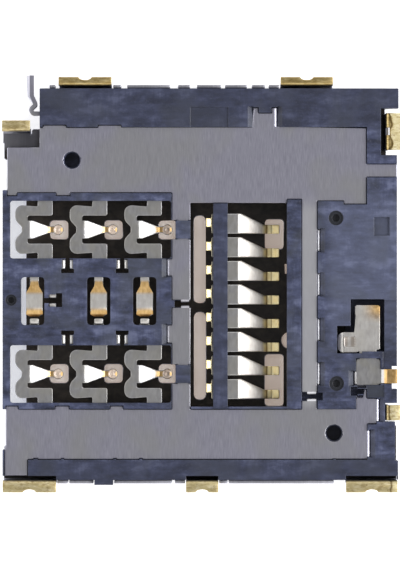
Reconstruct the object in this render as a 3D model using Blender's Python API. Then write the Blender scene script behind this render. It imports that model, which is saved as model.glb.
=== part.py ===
"""Stacked board socket for a 15 mm wide SIM card and an 11 mm wide memory card.

The socket lies on its cover with the board side up, so +Z points to the circuit
board, the cards enter from -X and the cover's outer face is at z = 0.
One lead frame sheet lies in the moulding: it was stamped with the contacts and the
two floor plates in one piece, moulded in, and then cut apart at its tie bars.
"""

import math

import bmesh
import bpy
from mathutils import Matrix

MM = 0.001

# Heights above the cover's outer face, and the sheet and running clearances
SHEET = 0.15 * MM
CLEAR = 0.02 * MM
MEMORY_SLOT = 0.80 * MM
SIM_SLOT = 0.85 * MM
FLOOR = 0.17 * MM
RIM = 0.12 * MM
STANDOFF = 0.05 * MM

MEMORY_TOP = SHEET + MEMORY_SLOT
SIM_TOP = MEMORY_TOP + SIM_SLOT
LEAD_LOW = SIM_TOP + FLOOR + CLEAR
LEAD_HIGH = LEAD_LOW + SHEET
MOULD_LOW = SHEET + CLEAR
MOULD_HIGH = LEAD_HIGH + RIM
BOARD = MOULD_HIGH + STANDOFF
ABOVE = BOARD + 1.0 * MM

# The moulding's outer edges
LEFT = -9.30 * MM
RIGHT = 9.05 * MM
TOP = 9.09 * MM
BOTTOM = -9.13 * MM
STEP_X = -7.58 * MM
STEP_Y = 6.34 * MM

# Card slots: widths, the line each is centred on, and where each card stops
SIM_WIDTH = 15.2 * MM
SIM_CENTRE_Y = -0.48 * MM
SIM_STOP_X = 1.60 * MM
MEMORY_WIDTH = 11.2 * MM
MEMORY_CENTRE_Y = -0.90 * MM
MEMORY_STOP_X = 6.67 * MM

# SIM contacts: three columns along X in two rows along Y
SIM_COLUMNS = 3
SIM_PITCH = 2.54 * MM
SIM_ROOT_X = -8.09 * MM
SIM_ROWS_Y = (2.52 * MM, -4.20 * MM)
SPINE_OUT = 0.63 * MM
SPINE_NOTCH = 0.33 * MM
SPINE_IN = 0.05 * MM
LOBE_LOW = 0.44 * MM
NOTCH_HALF = 0.12 * MM
LOBE_ROUND = 0.42 * MM
FRAME_ROUND = 0.10 * MM
ARM_IN = 0.65 * MM
ARM_OUT = 1.16 * MM
ARM_TAPER = 0.08 * MM
ARM_REACH = 1.12 * MM
STUB_FROM = 0.42 * MM
HOLD = 0.22 * MM
SIM_BEAM_ROOT = 0.84 * MM
SIM_BEAM_NECK = 0.33 * MM
SIM_BEAM_EVEN = 0.20 * MM
SIM_BEAM_TAPER = 0.90 * MM
SIM_BEAM_FOOT = 0.98 * MM
SIM_SPOON = 0.50 * MM
SIM_REACH = 1.62 * MM
SIM_DROP = 0.53 * MM
SIM_CURL = 0.12 * MM

# Windows in the floor over the SIM contacts
WINDOW_LEFT = 0.86 * MM
WINDOW_RIGHT = 1.55 * MM
WINDOW_HALF = 1.34 * MM
SPOON_BAY = 0.20 * MM
SPOON_BAY_HALF = 0.44 * MM

# Windows over the SIM solder tails, between the two rows
TAIL_X = (-7.82 * MM, -4.83 * MM, -2.69 * MM)
TAIL_NECK = 0.42 * MM
TAIL_PAD = 0.77 * MM
TAIL_WINDOW = 1.08 * MM
TAIL_WINDOW_TOP = 0.31 * MM
TAIL_WINDOW_LOW = -1.92 * MM
TAIL_LEAD = 0.19 * MM
TAIL_RISE = 0.54 * MM
TAIL_FLARE = 0.24 * MM
TAIL_FLAT = 0.77 * MM
TAIL_RAMP = 0.33 * MM
TAIL_CORNER = 0.08 * MM
TAIL_GAP = 0.09 * MM
TAIL_STEP = 0.10 * MM
TAIL_ROUND = 0.06 * MM
LINK_GAP = 0.04 * MM
TAIL_WINDOWS_X = (-8.44 * MM, -5.37 * MM, -3.23 * MM)

# Memory card contacts, one row along Y
MEMORY_PINS = 8
MEMORY_PITCH = 1.10 * MM
MEMORY_PINS_Y = -1.05 * MM
MEMORY_TAIL_X = 0.16 * MM
MEMORY_ROOT_X = 0.42 * MM
MEMORY_BEND_X = 1.68 * MM
MEMORY_TIP_X = 3.59 * MM
MEMORY_ROOT = 0.93 * MM
MEMORY_TIP = 0.42 * MM
MEMORY_TAIL = 0.41 * MM
MEMORY_TAIL_SHIFT = 0.05 * MM
MEMORY_SHOULDER = 0.12 * MM
MEMORY_TAPER = 1.19 * MM
MEMORY_DROP = 1.26 * MM
MEMORY_FOOT = 0.60 * MM
MEMORY_CURL = (0.28 * MM, 0.22 * MM)

# The well over the memory card contacts and the bar that holds them
WELL_LEFT = -0.56 * MM
WELL_RIGHT = 3.93 * MM
WELL_HIGH = 3.76 * MM
WELL_LOW = -5.72 * MM
BAR_LEFT = 0.50 * MM
BAR_RIGHT = 1.17 * MM

# Tie bars between the SIM contacts and the T slots that cut them
TIE_NEAR = 1.40 * MM
TIE_FAR = 1.82 * MM
TIE_CUT = 0.19 * MM
TIE_FOOT = 0.60 * MM
TIE_SHOW = 0.14 * MM
SHOWN = TIE_SHOW + TIE_CUT / 2
WELD = 0.10 * MM
CROSS_TIE = (0.95 * MM, 1.28 * MM)
CROSS_CUT_Y = (-0.66 * MM, -0.90 * MM)

# Floor plates: edges of the bare steel seen from the board side
PLATE_LEFT = -9.09 * MM
PLATE_HIGH = 7.27 * MM
PLATE_LOW = -8.17 * MM
SIM_BAR = 0.38 * MM
SIM_BAR_LOW = 0.30 * MM
SHOULDER = 0.18 * MM
STRIP_LEFT_X = -1.42 * MM
STRIP_RIGHT_X = 4.62 * MM
STRIP_RIGHT = 0.72 * MM
WAIST = (-1.16 * MM, -0.68 * MM)
UPPER_TEETH = ((-3.79, -4.86), (-6.35, -7.42))
UPPER_FEET = ((-9.09, -8.63), (-6.81, -6.16))
LOWER_TEETH = ((-3.70, -4.30), (-6.21, -6.86), (-8.58, -9.15))
LOWER_NICKS = ((-7.88, -7.65), (-6.60, -6.44), (-4.16, -4.00), (-2.95, -2.79), (6.07, 6.21))
UPPER_STEP = (0.11 * MM, 0.14 * MM)
LOWER_STEP = (0.15 * MM, 0.05 * MM)
UPPER_RIGHT = 7.63 * MM
UPPER_NOTCH = (6.58 * MM, 3.86 * MM, 3.71 * MM)
STRAP = (5.57 * MM, 4.97 * MM)
TONGUE = (2.50 * MM, 3.32 * MM, 7.94 * MM)
HORN = 8.19 * MM
LOWER_RIGHT = 7.65 * MM
EAR = (7.16 * MM, 8.08 * MM, -5.33 * MM, -6.52 * MM)
CORNER = (-9.21 * MM, -8.14 * MM, -7.59 * MM, -8.92 * MM)
LEFT_CUT = (-0.74 * MM, -1.12 * MM)
RIGHT_CUT = (-5.03 * MM, -5.46 * MM)
EJECTORS = ((6.21 * MM, 3.06 * MM), (6.24 * MM, -4.64 * MM))
THIRD_MARK = (-8.91 * MM, -0.76 * MM)
MARK_DEEP = 0.10 * MM
MARK_ROUND = (0.34 * MM, 0.18 * MM)
THIRD_ROUND = (0.26 * MM, 0.15 * MM)
SQUARE_MARK = (7.98 * MM, 2.24 * MM, 8.70 * MM, 3.10 * MM)
POCKET = (-0.56 * MM, 7.27 * MM, 1.19 * MM, 8.22 * MM)
POCKET_DEEP = 0.04 * MM
LEDGE_DEEP = 0.08 * MM
KEY = 0.23 * MM
WINDOW_ROUND = 0.12 * MM
TAIL_WINDOW_ROUND = 0.16 * MM
FOOT_SLOTS = ((6.89 * MM, -5.20 * MM, 7.20 * MM, -4.80 * MM),
              (7.19 * MM, -5.13 * MM, 7.50 * MM, -4.88 * MM))
HOLE = 0.40 * MM
HOLES = ((-6.07 * MM, 5.75 * MM), (6.12 * MM, -6.95 * MM))
BEVEL = 0.15 * MM
SHEAR_DROP = 0.07 * MM
SHEAR_LONG = 1.00 * MM
SHEAR_NICK = 0.12 * MM
SHEAR_STEP = (0.03 * MM, 0.08 * MM)
RIGHT_SHEARS_Y = (2.52 * MM, 0.47 * MM, -1.64 * MM, -3.69 * MM)
LEFT_SHEARS_Y = (1.15 * MM, 0.36 * MM, -1.92 * MM, -2.76 * MM)
LOWER_SHEAR_Y = (-6.84 * MM, -8.03 * MM)
EAR_SHEAR_Y = (-5.39 * MM, -6.38 * MM)
FOOT_SHEAR_Y = -4.10 * MM
RELIEF = 0.24 * MM
RELIEF_SIDE = 0.06 * MM
STUMP = (7.51 * MM, 7.64 * MM, -4.91 * MM)
FOOT_POCKET = (7.63 * MM, -5.32 * MM, 8.46 * MM, -4.70 * MM)
LUG = 0.6
PIT = 0.36 * MM
PIT_FLOOR = 1.10 * MM

# Card detect switch: spring blade, its finger, and its foot with the solder tail
BLADE = (7.10 * MM, 8.26 * MM, -0.99 * MM, -3.08 * MM)
FINGER = (6.28 * MM, -2.26 * MM, -3.20 * MM)
FINGER_POCKET = (6.58 * MM, -2.92 * MM, 7.12 * MM, -2.46 * MM)
FINGER_DEEP = 0.06 * MM
FINGER_DIP = 0.14 * MM
BLADE_DIP = 0.06 * MM
FOOT = (7.16 * MM, 8.26 * MM, -3.49 * MM, -4.70 * MM)
NECK = (7.30 * MM, 8.10 * MM)
SWITCH_TAIL = (9.07 * MM, -3.97 * MM, -4.64 * MM)
SWITCH_WELL_Y = (-0.72 * MM, -3.15 * MM)
SWITCH_WELL_X = (6.89 * MM, 8.46 * MM)

# Cover: plate edges, the scooped entry edge, walls and solder tabs
COVER_RIGHT = 8.67 * MM
COVER_CORNER_X = 9.08 * MM
COVER_CORNER_Y = -6.60 * MM
COVER_LEFT = -9.28 * MM
SCOOP = 1.02 * MM
SCOOP_Y = (5.85 * MM, -7.60 * MM)
TAB_OUT = 0.36 * MM
TAB_GAP = 0.10 * MM
TAB_BAY = 0.19 * MM
TAB_SLOPE = 0.10 * MM
WALL_HIGH = 2.05 * MM
BEND = 0.12 * MM
TOP_WALLS = ((-7.13, -6.86), (-4.16, -3.79), (-3.51, -1.51), (-1.14, -0.58), (-0.26, 0.86), (1.05, 2.07),
             (2.30, 2.91), (3.09, 3.56))
TOP_TABS = ((-6.70, -4.23), (3.63, 6.07))
LOW_WALLS = ((-6.77, -6.27), (-6.21, -5.09), (-4.11, -1.42), (-1.29, -0.81), (0.78, 1.17),
             (1.22, 6.12))
LOW_TABS = ((-9.30, -6.81), (-0.77, 0.74), (6.67, 9.08))
RIGHT_TABS = ((7.94, 6.22), (-5.64, -6.36))
CORNER_TAB = (-9.33 * MM, -8.02 * MM)
CORNER_WALL_Y = 7.24 * MM
RIGHT_TAB_END = 9.33 * MM
TAB_NOTCH = (0.30 * MM, 0.14 * MM)
LOW_TAB_MORE = 0.05 * MM
TAB_RELIEF = (7.26 * MM, 6.92 * MM)
SPOON_OPENING = (0.23 * MM, 0.42 * MM, 0.43 * MM, 0.16 * MM)
TIP_OPENING = (0.67 * MM, 0.20 * MM, 0.16 * MM)
TIP_OPENINGS_Y = ((3.00, 1.63), (-3.31, -5.70))
TAIL_OPENING = (0.56 * MM, 0.01 * MM, 0.22 * MM)
TAIL_OPENINGS_Y = ((3.17, -0.90), (-1.34, -5.40))
ROUND_OPENING = (4.10 * MM, -2.64 * MM, 0.40 * MM)
SMALL_OPENING = (3.84 * MM, 0.47 * MM, 4.30 * MM, 0.92 * MM)

# Side spring leaf at the upper left corner
LEAF = 0.20 * MM
LEAF_LEAN = 0.18 * MM
LEAF_BEND_Y = 8.30 * MM
LEAF_Z = (0.75 * MM, 1.75 * MM)


def rect(x0, y0, x1, y1):
    """Corners of a rectangle, counter-clockwise."""
    return [(min(x0, x1), min(y0, y1)), (max(x0, x1), min(y0, y1)),
            (max(x0, x1), max(y0, y1)), (min(x0, x1), max(y0, y1))]


def corner_arc(a, b, c, radius, steps):
    """Points of the arc that rounds the corner at b between the edges to a and c."""
    back = math.hypot(a[0] - b[0], a[1] - b[1])
    ahead = math.hypot(c[0] - b[0], c[1] - b[1])
    ux, uy = (a[0] - b[0]) / back, (a[1] - b[1]) / back
    vx, vy = (c[0] - b[0]) / ahead, (c[1] - b[1]) / ahead
    half = math.acos(max(-1.0, min(1.0, ux * vx + uy * vy))) / 2
    if half > math.radians(89) or radius == 0:
        return [b]
    reach = min(radius / math.tan(half), 0.49 * back, 0.49 * ahead)
    arc = reach * math.tan(half)
    mx, my = ux + vx, uy + vy
    scale = arc / math.sin(half) / math.hypot(mx, my)
    centre = (b[0] + mx * scale, b[1] + my * scale)
    start = math.atan2(b[1] + uy * reach - centre[1], b[0] + ux * reach - centre[0])
    end = math.atan2(b[1] + vy * reach - centre[1], b[0] + vx * reach - centre[0])
    turn = (end - start + math.pi) % (2 * math.pi) - math.pi
    angles = [start + turn * k / steps for k in range(steps + 1)]
    return [(centre[0] + arc * math.cos(t), centre[1] + arc * math.sin(t)) for t in angles]


def rounded(points, radius, steps=3):
    """The closed outline with its corners turned into arcs of one radius, or of one each."""
    radii = radius if isinstance(radius, list) else [radius] * len(points)
    result = []
    for i, corner in enumerate(points):
        result += corner_arc(points[i - 1], corner, points[(i + 1) % len(points)], radii[i], steps)
    return result


def eased(line, radius, steps=4):
    """The open line with its inner corners turned into arcs of the given radius."""
    result = [line[0]]
    for a, b, c in zip(line, line[1:], line[2:]):
        result += corner_arc(a, b, c, radius, steps)
    result.append(line[-1])
    return result


def circle(x, y, radius, steps=32):
    """Points of a circle."""
    return [(x + radius * math.cos(2 * math.pi * k / steps),
             y + radius * math.sin(2 * math.pi * k / steps)) for k in range(steps)]


def grown(points, distance):
    """The outline moved outwards by a distance, with mitred corners."""
    area = sum(a[0] * b[1] - b[0] * a[1] for a, b in zip(points, points[1:] + points[:1]))
    side = distance if area > 0 else -distance
    result = []
    for i, (bx, by) in enumerate(points):
        ax, ay = points[i - 1]
        cx, cy = points[(i + 1) % len(points)]
        back = math.hypot(bx - ax, by - ay)
        ahead = math.hypot(cx - bx, cy - by)
        nx, ny = (by - ay) / back, -(bx - ax) / back
        mx, my = (cy - by) / ahead, -(cx - bx) / ahead
        spread = 1 + nx * mx + ny * my
        result.append((bx + side * (nx + mx) / spread, by + side * (ny + my) / spread))
    return result


def band(line, thickness=SHEET):
    """Outline of a bent sheet seen edge-on: its middle line given half a thickness each way."""
    left, right = [], []
    for i, (bx, by) in enumerate(line):
        ax, ay = line[max(i - 1, 0)]
        cx, cy = line[min(i + 1, len(line) - 1)]
        normals = []
        for (px, py), (qx, qy) in (((ax, ay), (bx, by)), ((bx, by), (cx, cy))):
            length = math.hypot(qx - px, qy - py)
            if length > 0:
                normals.append((-(qy - py) / length, (qx - px) / length))
        (nx, ny), (mx, my) = normals[0], normals[-1]
        spread = 1 + nx * mx + ny * my
        ox = (nx + mx) / spread * thickness / 2
        oy = (ny + my) / spread * thickness / 2
        left.append((bx + ox, by + oy))
        right.append((bx - ox, by - oy))
    return left + right[::-1]


def new_collection(name):
    """A collection linked to the scene."""
    collection = bpy.data.collections.new(name)
    bpy.context.scene.collection.children.link(collection)
    return collection


def prism(name, outlines, low, high, collection, turn=None):
    """Flat outlines filled and extruded from low to high, each cap left as one face."""
    curve = bpy.data.curves.new(name, 'CURVE')
    curve.dimensions = '2D'
    curve.fill_mode = 'BOTH'
    curve.extrude = (high - low) / 2
    for outline in outlines:
        spline = curve.splines.new('POLY')
        spline.points.add(len(outline) - 1)
        for point, (x, y) in zip(spline.points, outline):
            point.co = (x, y, 0, 1)
        spline.use_cyclic_u = True
    flat = bpy.data.objects.new(name, curve)
    bpy.context.scene.collection.objects.link(flat)
    bpy.context.view_layer.update()
    mesh = bpy.data.meshes.new_from_object(flat.evaluated_get(bpy.context.evaluated_depsgraph_get()))
    bpy.data.objects.remove(flat)
    bpy.data.curves.remove(curve)
    for vertex in mesh.vertices:
        vertex.co.z = low if vertex.co.z < 0 else high
    shape = bmesh.new()
    shape.from_mesh(mesh)
    bmesh.ops.remove_doubles(shape, verts=shape.verts, dist=0.0005 * MM)
    caps = [face for face in shape.faces if len({vertex.co.z for vertex in face.verts}) == 1]
    bmesh.ops.dissolve_faces(shape, faces=caps, use_verts=False)
    bmesh.ops.recalc_face_normals(shape, faces=shape.faces)
    bmesh.ops.transform(shape, matrix=turn or Matrix(), verts=shape.verts)
    shape.to_mesh(mesh)
    shape.free()
    mesh.name = name
    solid = bpy.data.objects.new(name, mesh)
    collection.objects.link(solid)
    return solid


# A profile drawn in (y, z) or (x, z) is turned so that its extrusion runs along X or Y
ALONG_X = Matrix(((0, 0, 1, 0), (1, 0, 0, 0), (0, 1, 0, 0), (0, 0, 0, 1)))
ALONG_Y = Matrix(((1, 0, 0, 0), (0, 0, -1, 0), (0, 1, 0, 0), (0, 0, 0, 1)))


def combine(target, other, operation):
    """Apply one exact boolean and drop the second solid."""
    modifier = target.modifiers.new(operation, 'BOOLEAN')
    modifier.operation = operation
    modifier.solver = 'EXACT'
    modifier.object = other
    bpy.context.view_layer.update()
    mesh = bpy.data.meshes.new_from_object(
        target.evaluated_get(bpy.context.evaluated_depsgraph_get()))
    target.modifiers.clear()
    old = target.data
    target.data = mesh
    mesh.name = target.name
    bpy.data.meshes.remove(old)
    used = other.data
    bpy.data.objects.remove(other)
    bpy.data.meshes.remove(used)
    return target


def unite(target, *others):
    """Weld solids into one body."""
    for other in others:
        combine(target, other, 'UNION')
    return target


def finish_edges(solid, angle=35):
    """Smooth the bends, keep the stamped corners sharp."""
    solid.data.shade_smooth()
    solid.data.set_sharp_from_angle(angle=math.radians(angle))


def principled(name, colour, roughness, metallic):
    """A plain surface in the piece's own colour."""
    material = bpy.data.materials.new(name)
    material.use_nodes = True
    shader = material.node_tree.nodes['Principled BSDF']
    shader.inputs['Base Color'].default_value = (*colour, 1)
    shader.inputs['Roughness'].default_value = roughness
    shader.inputs['Metallic'].default_value = metallic
    material.diffuse_color = (*colour, 1)
    return material


def sim_root_x(column):
    """Bend line of a SIM contact's beam."""
    return SIM_ROOT_X + column * SIM_PITCH


def memory_pin_y(pin):
    """Middle line of a memory card contact's root, counted from the top."""
    return MEMORY_PINS_Y + ((MEMORY_PINS - 1) / 2 - pin) * MEMORY_PITCH


for leftover in list(bpy.data.objects):
    bpy.data.objects.remove(leftover)

parts = new_collection('sim_card_socket')
cutters = new_collection('cutters')
plated = principled('plated_bronze', (0.42, 0.40, 0.38), 0.35, 1.0)
steel = principled('stainless_sheet', (0.30, 0.30, 0.33), 0.38, 1.0)
resin = principled('navy_resin', (0.055, 0.065, 0.11), 0.55, 0.0)


# SIM contacts: a flat frame, a beam bent down into the SIM slot, and a solder tail up to the board

def sim_frame_outline(x, y):
    """Flat frame of one contact: a lobed spine, two arms with stubs, the beam's root."""
    held = WINDOW_HALF + HOLD
    half = SIM_BEAM_ROOT / 2
    upper = [(0, half, 0), (-SPINE_IN, half, 0), (-SPINE_IN, ARM_IN, FRAME_ROUND),
             (ARM_REACH, ARM_IN, FRAME_ROUND), (ARM_REACH, held, 0), (STUB_FROM, held, 0),
             (STUB_FROM, ARM_OUT - ARM_TAPER, FRAME_ROUND / 2), (-SPINE_OUT, ARM_OUT, LOBE_ROUND),
             (-SPINE_OUT, LOBE_LOW, LOBE_ROUND), (-SPINE_NOTCH, NOTCH_HALF, FRAME_ROUND)]
    whole = upper + [(px, -py, radius) for px, py, radius in reversed(upper)]
    return rounded([(x + px, y + py) for px, py, _ in whole], [radius for _, _, radius in whole], 4)


def sim_beam(name, x, y):
    """Tapered beam, bent down at its root, with a round spoon at its tip."""
    root, neck, spoon = SIM_BEAM_ROOT / 2, SIM_BEAM_NECK / 2, SIM_SPOON / 2
    start = -2 * SPINE_IN
    centre = SIM_REACH - spoon
    spread = math.pi - math.asin(neck / spoon)
    angles = [spread * (1 - k / 7) for k in range(15)]
    plan = [(start, root), (SIM_BEAM_EVEN, root), (SIM_BEAM_TAPER, neck)]
    plan += [(centre + spoon * math.cos(t), spoon * math.sin(t)) for t in angles]
    plan += [(SIM_BEAM_TAPER, -neck), (SIM_BEAM_EVEN, -root), (start, -root)]
    beam = prism(name, [[(x + px, y + py) for px, py in plan]], MOULD_LOW, ABOVE, parts)
    level = (LEAD_LOW + LEAD_HIGH) / 2
    low = level - SIM_DROP
    side = eased([(start, level), (SPINE_IN, level), (SIM_BEAM_FOOT, low),
                  (SIM_REACH - SIM_CURL, low), (SIM_REACH + SIM_CURL / 2, low + SIM_CURL)],
                 0.20 * MM)
    sheet = prism(name + '_side', [band([(x + px, pz) for px, pz in side])],
                  -y - SIM_BEAM_ROOT, -y + SIM_BEAM_ROOT, cutters, ALONG_Y)
    return combine(beam, sheet, 'INTERSECT')


def long_tail_end():
    """Where the upper contacts' solder tails end; the lower ones start a gap further on."""
    return TAIL_WINDOW_TOP - TAIL_LEAD - TAIL_RISE - TAIL_FLAT - TAIL_RAMP


def link_outlines(column, row):
    """Sheet held in the moulding: the link to the tail, its neck, and the cut tie bars."""
    x, y = sim_root_x(column), SIM_ROWS_Y[row]
    way = -1 if row == 0 else 1
    tail_x = TAIL_X[column]
    window = TAIL_WINDOW_TOP if row == 0 else TAIL_WINDOW_LOW
    stub = (x + STUB_FROM, x + ARM_REACH)
    neck = (tail_x - TAIL_NECK / 2, tail_x + TAIL_NECK / 2)
    near, far = y + way * (WINDOW_HALF + LINK_GAP), y + way * TIE_FAR
    outlines = [rect(min(stub[0], neck[0]), near, max(stub[1], neck[1]), far),
                rect(neck[0], far - way * WELD, neck[1], window)]
    bar = (y + way * TIE_NEAR, y + way * TIE_FAR)
    if column < SIM_COLUMNS - 1:
        outlines.append(rect(stub[1] - WELD, bar[0], tie_cut_x(column) - SHOWN, bar[1]))
    if column > 0:
        outlines.append(rect(tie_cut_x(column - 1) + SHOWN, bar[0],
                             min(stub[0], neck[0]) + WELD, bar[1]))
    else:
        outlines.append(rect(x + CROSS_TIE[0], far - way * WELD, x + CROSS_TIE[1],
                             CROSS_CUT_Y[row] - way * TIE_SHOW))
    return outlines


def tie_ends(column, row):
    """Sloped sheared ends of the contact's tie bars: (x0, y0, x1, y1), see wedge."""
    x, y = sim_root_x(column), SIM_ROWS_Y[row]
    way = -1 if row == 0 else 1
    near, far = y + way * TIE_NEAR, y + way * TIE_FAR
    ends = []
    if column < SIM_COLUMNS - 1:
        cut = tie_cut_x(column)
        ends.append((cut - SHOWN, near, cut - TIE_CUT / 2, far))
    if column > 0:
        cut = tie_cut_x(column - 1)
        ends.append((cut + SHOWN, near, cut + TIE_CUT / 2, far))
    else:
        ends.append((x + CROSS_TIE[0], CROSS_CUT_Y[row] - way * TIE_SHOW, x + CROSS_TIE[1],
                     CROSS_CUT_Y[row]))
    return ends


def tie_cut_x(column):
    """Middle of the T slot between a column and the next."""
    return sim_root_x(column) + (ARM_REACH + SIM_PITCH - SPINE_OUT + 0.59 * MM) / 2


def tail_line(y_from, y_to, rise, fall):
    """Middle line of a solder tail in (y, z): level, up to the board, and down again."""
    level = (LEAD_LOW + LEAD_HIGH) / 2
    high = BOARD - SHEET / 2
    step = 1 if y_to > y_from else -1
    line = [(y_from - step * 0.3 * MM, level), (y_from, level), (y_from + step * rise, high)]
    if fall:
        line += [(y_to - step * fall, high), (y_to + step * fall, high - 1.1 * fall)]
    else:
        line += [(y_to + step * 0.1 * MM, high)]
    return eased(line, 0.12 * MM)


def sim_tail(name, column, row):
    """Solder tail: a neck that widens, on the upper row, to a pad lying on the board."""
    tail_x = TAIL_X[column]
    neck = TAIL_NECK / 2
    if row == 0:
        start, end = TAIL_WINDOW_TOP, long_tail_end()
        line = tail_line(start - TAIL_LEAD, end, TAIL_RISE, TAIL_RAMP)
        widths = [(start + HOLD / 2, neck), (start - TAIL_LEAD - TAIL_FLARE, neck),
                  (start - TAIL_LEAD - TAIL_RISE, TAIL_PAD / 2),
                  (end + TAIL_CORNER, TAIL_PAD / 2), (end, neck)]
    else:
        start, end = TAIL_WINDOW_LOW, long_tail_end() - TAIL_GAP
        line = tail_line(start + TAIL_STEP / 2, end, TAIL_STEP, 0)
        widths = [(start - HOLD / 2, neck), (end, neck)]
    plan = [(tail_x - half, y) for y, half in widths]
    plan += [(tail_x + half, y) for y, half in reversed(widths)]
    tail = prism(name + '_tail', [rounded(plan, TAIL_ROUND)], MOULD_LOW, ABOVE, parts)
    sheet = prism(name + '_side', [band(line)], tail_x - TAIL_PAD, tail_x + TAIL_PAD,
                  cutters, ALONG_X)
    return combine(tail, sheet, 'INTERSECT')


def sim_contact(column, row):
    """One SIM contact with its link and solder tail."""
    name = f'sim_contact_{1 + column + row * SIM_COLUMNS}'
    x, y = sim_root_x(column), SIM_ROWS_Y[row]
    contact = prism(name, [sim_frame_outline(x, y)], LEAD_LOW, LEAD_HIGH, parts)
    unite(contact, sim_beam(name + '_beam', x, y))
    for outline in link_outlines(column, row):
        unite(contact, prism(name + '_link', [outline], LEAD_LOW, LEAD_HIGH, parts))
    for end in tie_ends(column, row):
        unite(contact, wedge(name + '_end', *end))
    unite(contact, sim_tail(name, column, row))
    dress(contact, plated)


def dress(solid, material):
    """One material, smooth bends."""
    solid.data.materials.clear()
    solid.data.materials.append(material)
    finish_edges(solid)


# Memory card contacts: a root held by the bar, a steep beam down the well, and a solder tail

def memory_contact(pin):
    """One memory card contact."""
    name = f'memory_contact_{1 + pin}'
    y = memory_pin_y(pin)
    half = MEMORY_ROOT / 2
    level = (LEAD_LOW + LEAD_HIGH) / 2
    low = level - MEMORY_DROP
    taper_x = MEMORY_BEND_X + MEMORY_TAPER
    tail_y = y + MEMORY_TAIL_SHIFT
    plan = [(MEMORY_TAIL_X, tail_y - MEMORY_TAIL / 2), (MEMORY_ROOT_X, tail_y - MEMORY_TAIL / 2),
            (MEMORY_ROOT_X, y - half), (MEMORY_TIP_X, y - half),
            (MEMORY_TIP_X, y - half + MEMORY_TIP), (taper_x, y - half + MEMORY_TIP),
            (MEMORY_BEND_X + MEMORY_SHOULDER, y + half), (MEMORY_ROOT_X, y + half),
            (MEMORY_ROOT_X, tail_y + MEMORY_TAIL / 2), (MEMORY_TAIL_X, tail_y + MEMORY_TAIL / 2)]
    contact = prism(name, [rounded(plan, 0.05 * MM, 2)], MOULD_LOW, ABOVE, parts)
    board = BOARD - SHEET / 2
    side = eased([(MEMORY_TAIL_X - 0.1 * MM, board), (MEMORY_TAIL_X + 0.05 * MM, board),
                  (MEMORY_ROOT_X + 0.02 * MM, level), (MEMORY_BEND_X, level),
                  (MEMORY_TIP_X - MEMORY_FOOT, low), (MEMORY_TIP_X - MEMORY_CURL[0], low),
                  (MEMORY_TIP_X + CLEAR, low + MEMORY_CURL[1])], 0.15 * MM)
    sheet = prism(name + '_side', [band(side)], -y - MEMORY_ROOT, -y + MEMORY_ROOT,
                  cutters, ALONG_Y)
    combine(contact, sheet, 'INTERSECT')
    dress(contact, plated)


# Floor plates: flush steel sheet in the board side, bevelled where it was sheared off

def stepped(y, depth, spans):
    """Points of an edge along X that steps by a depth over each span, in millimetres."""
    points = []
    for x0, x1 in spans:
        points += [(x0 * MM, y), (x0 * MM, y + depth), (x1 * MM, y + depth), (x1 * MM, y)]
    return points


def waist(row, left):
    """Points where a strip narrows to pass under a bridge, on its left or right side."""
    y, half = SIM_ROWS_Y[row], SPOON_BAY_HALF
    side, inner = (STRIP_LEFT_X, WAIST[0]) if left else (WELL_LEFT, WAIST[1])
    points = [(side, y + half), (inner, y + half), (inner, y - half), (side, y - half)]
    return points if left else points[::-1]


def upper_plate_outline():
    """Edge of the plate above the SIM windows, with the strips beside the well."""
    bar_high = SIM_ROWS_Y[0] + WINDOW_HALF + SIM_BAR
    shoulder = WELL_HIGH + SHOULDER
    left = [(STEP_X, PLATE_HIGH), (STEP_X, STEP_Y), (PLATE_LEFT, STEP_Y)]
    left += stepped(bar_high, -UPPER_STEP[1], UPPER_FEET)[1:]
    left += [(STRIP_LEFT_X, bar_high)] + waist(0, True)
    left += [(STRIP_LEFT_X, LEFT_CUT[0]), (WELL_LEFT, LEFT_CUT[0])] + waist(0, False)
    right = STRIP_RIGHT_X + STRIP_RIGHT
    return left + [
        (WELL_LEFT, WELL_HIGH), (WELL_RIGHT, WELL_HIGH), (WELL_RIGHT, shoulder),
        (STRIP_RIGHT_X, shoulder), (STRIP_RIGHT_X, RIGHT_CUT[0]), (right, RIGHT_CUT[0]),
        (right, UPPER_NOTCH[1]), (UPPER_NOTCH[0], UPPER_NOTCH[1]),
        (UPPER_NOTCH[0], UPPER_NOTCH[2]), (UPPER_RIGHT, UPPER_NOTCH[2]),
        (UPPER_RIGHT, STRAP[1]), (RIGHT, STRAP[1]), (RIGHT, STRAP[0]),
        (UPPER_RIGHT, STRAP[0]), (UPPER_RIGHT, PLATE_HIGH), (TONGUE[1], PLATE_HIGH),
        (TONGUE[1], TONGUE[2]), (TONGUE[0], TONGUE[2]), (TONGUE[0], PLATE_HIGH)
    ] + stepped(PLATE_HIGH, UPPER_STEP[0], UPPER_TEETH)


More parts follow.
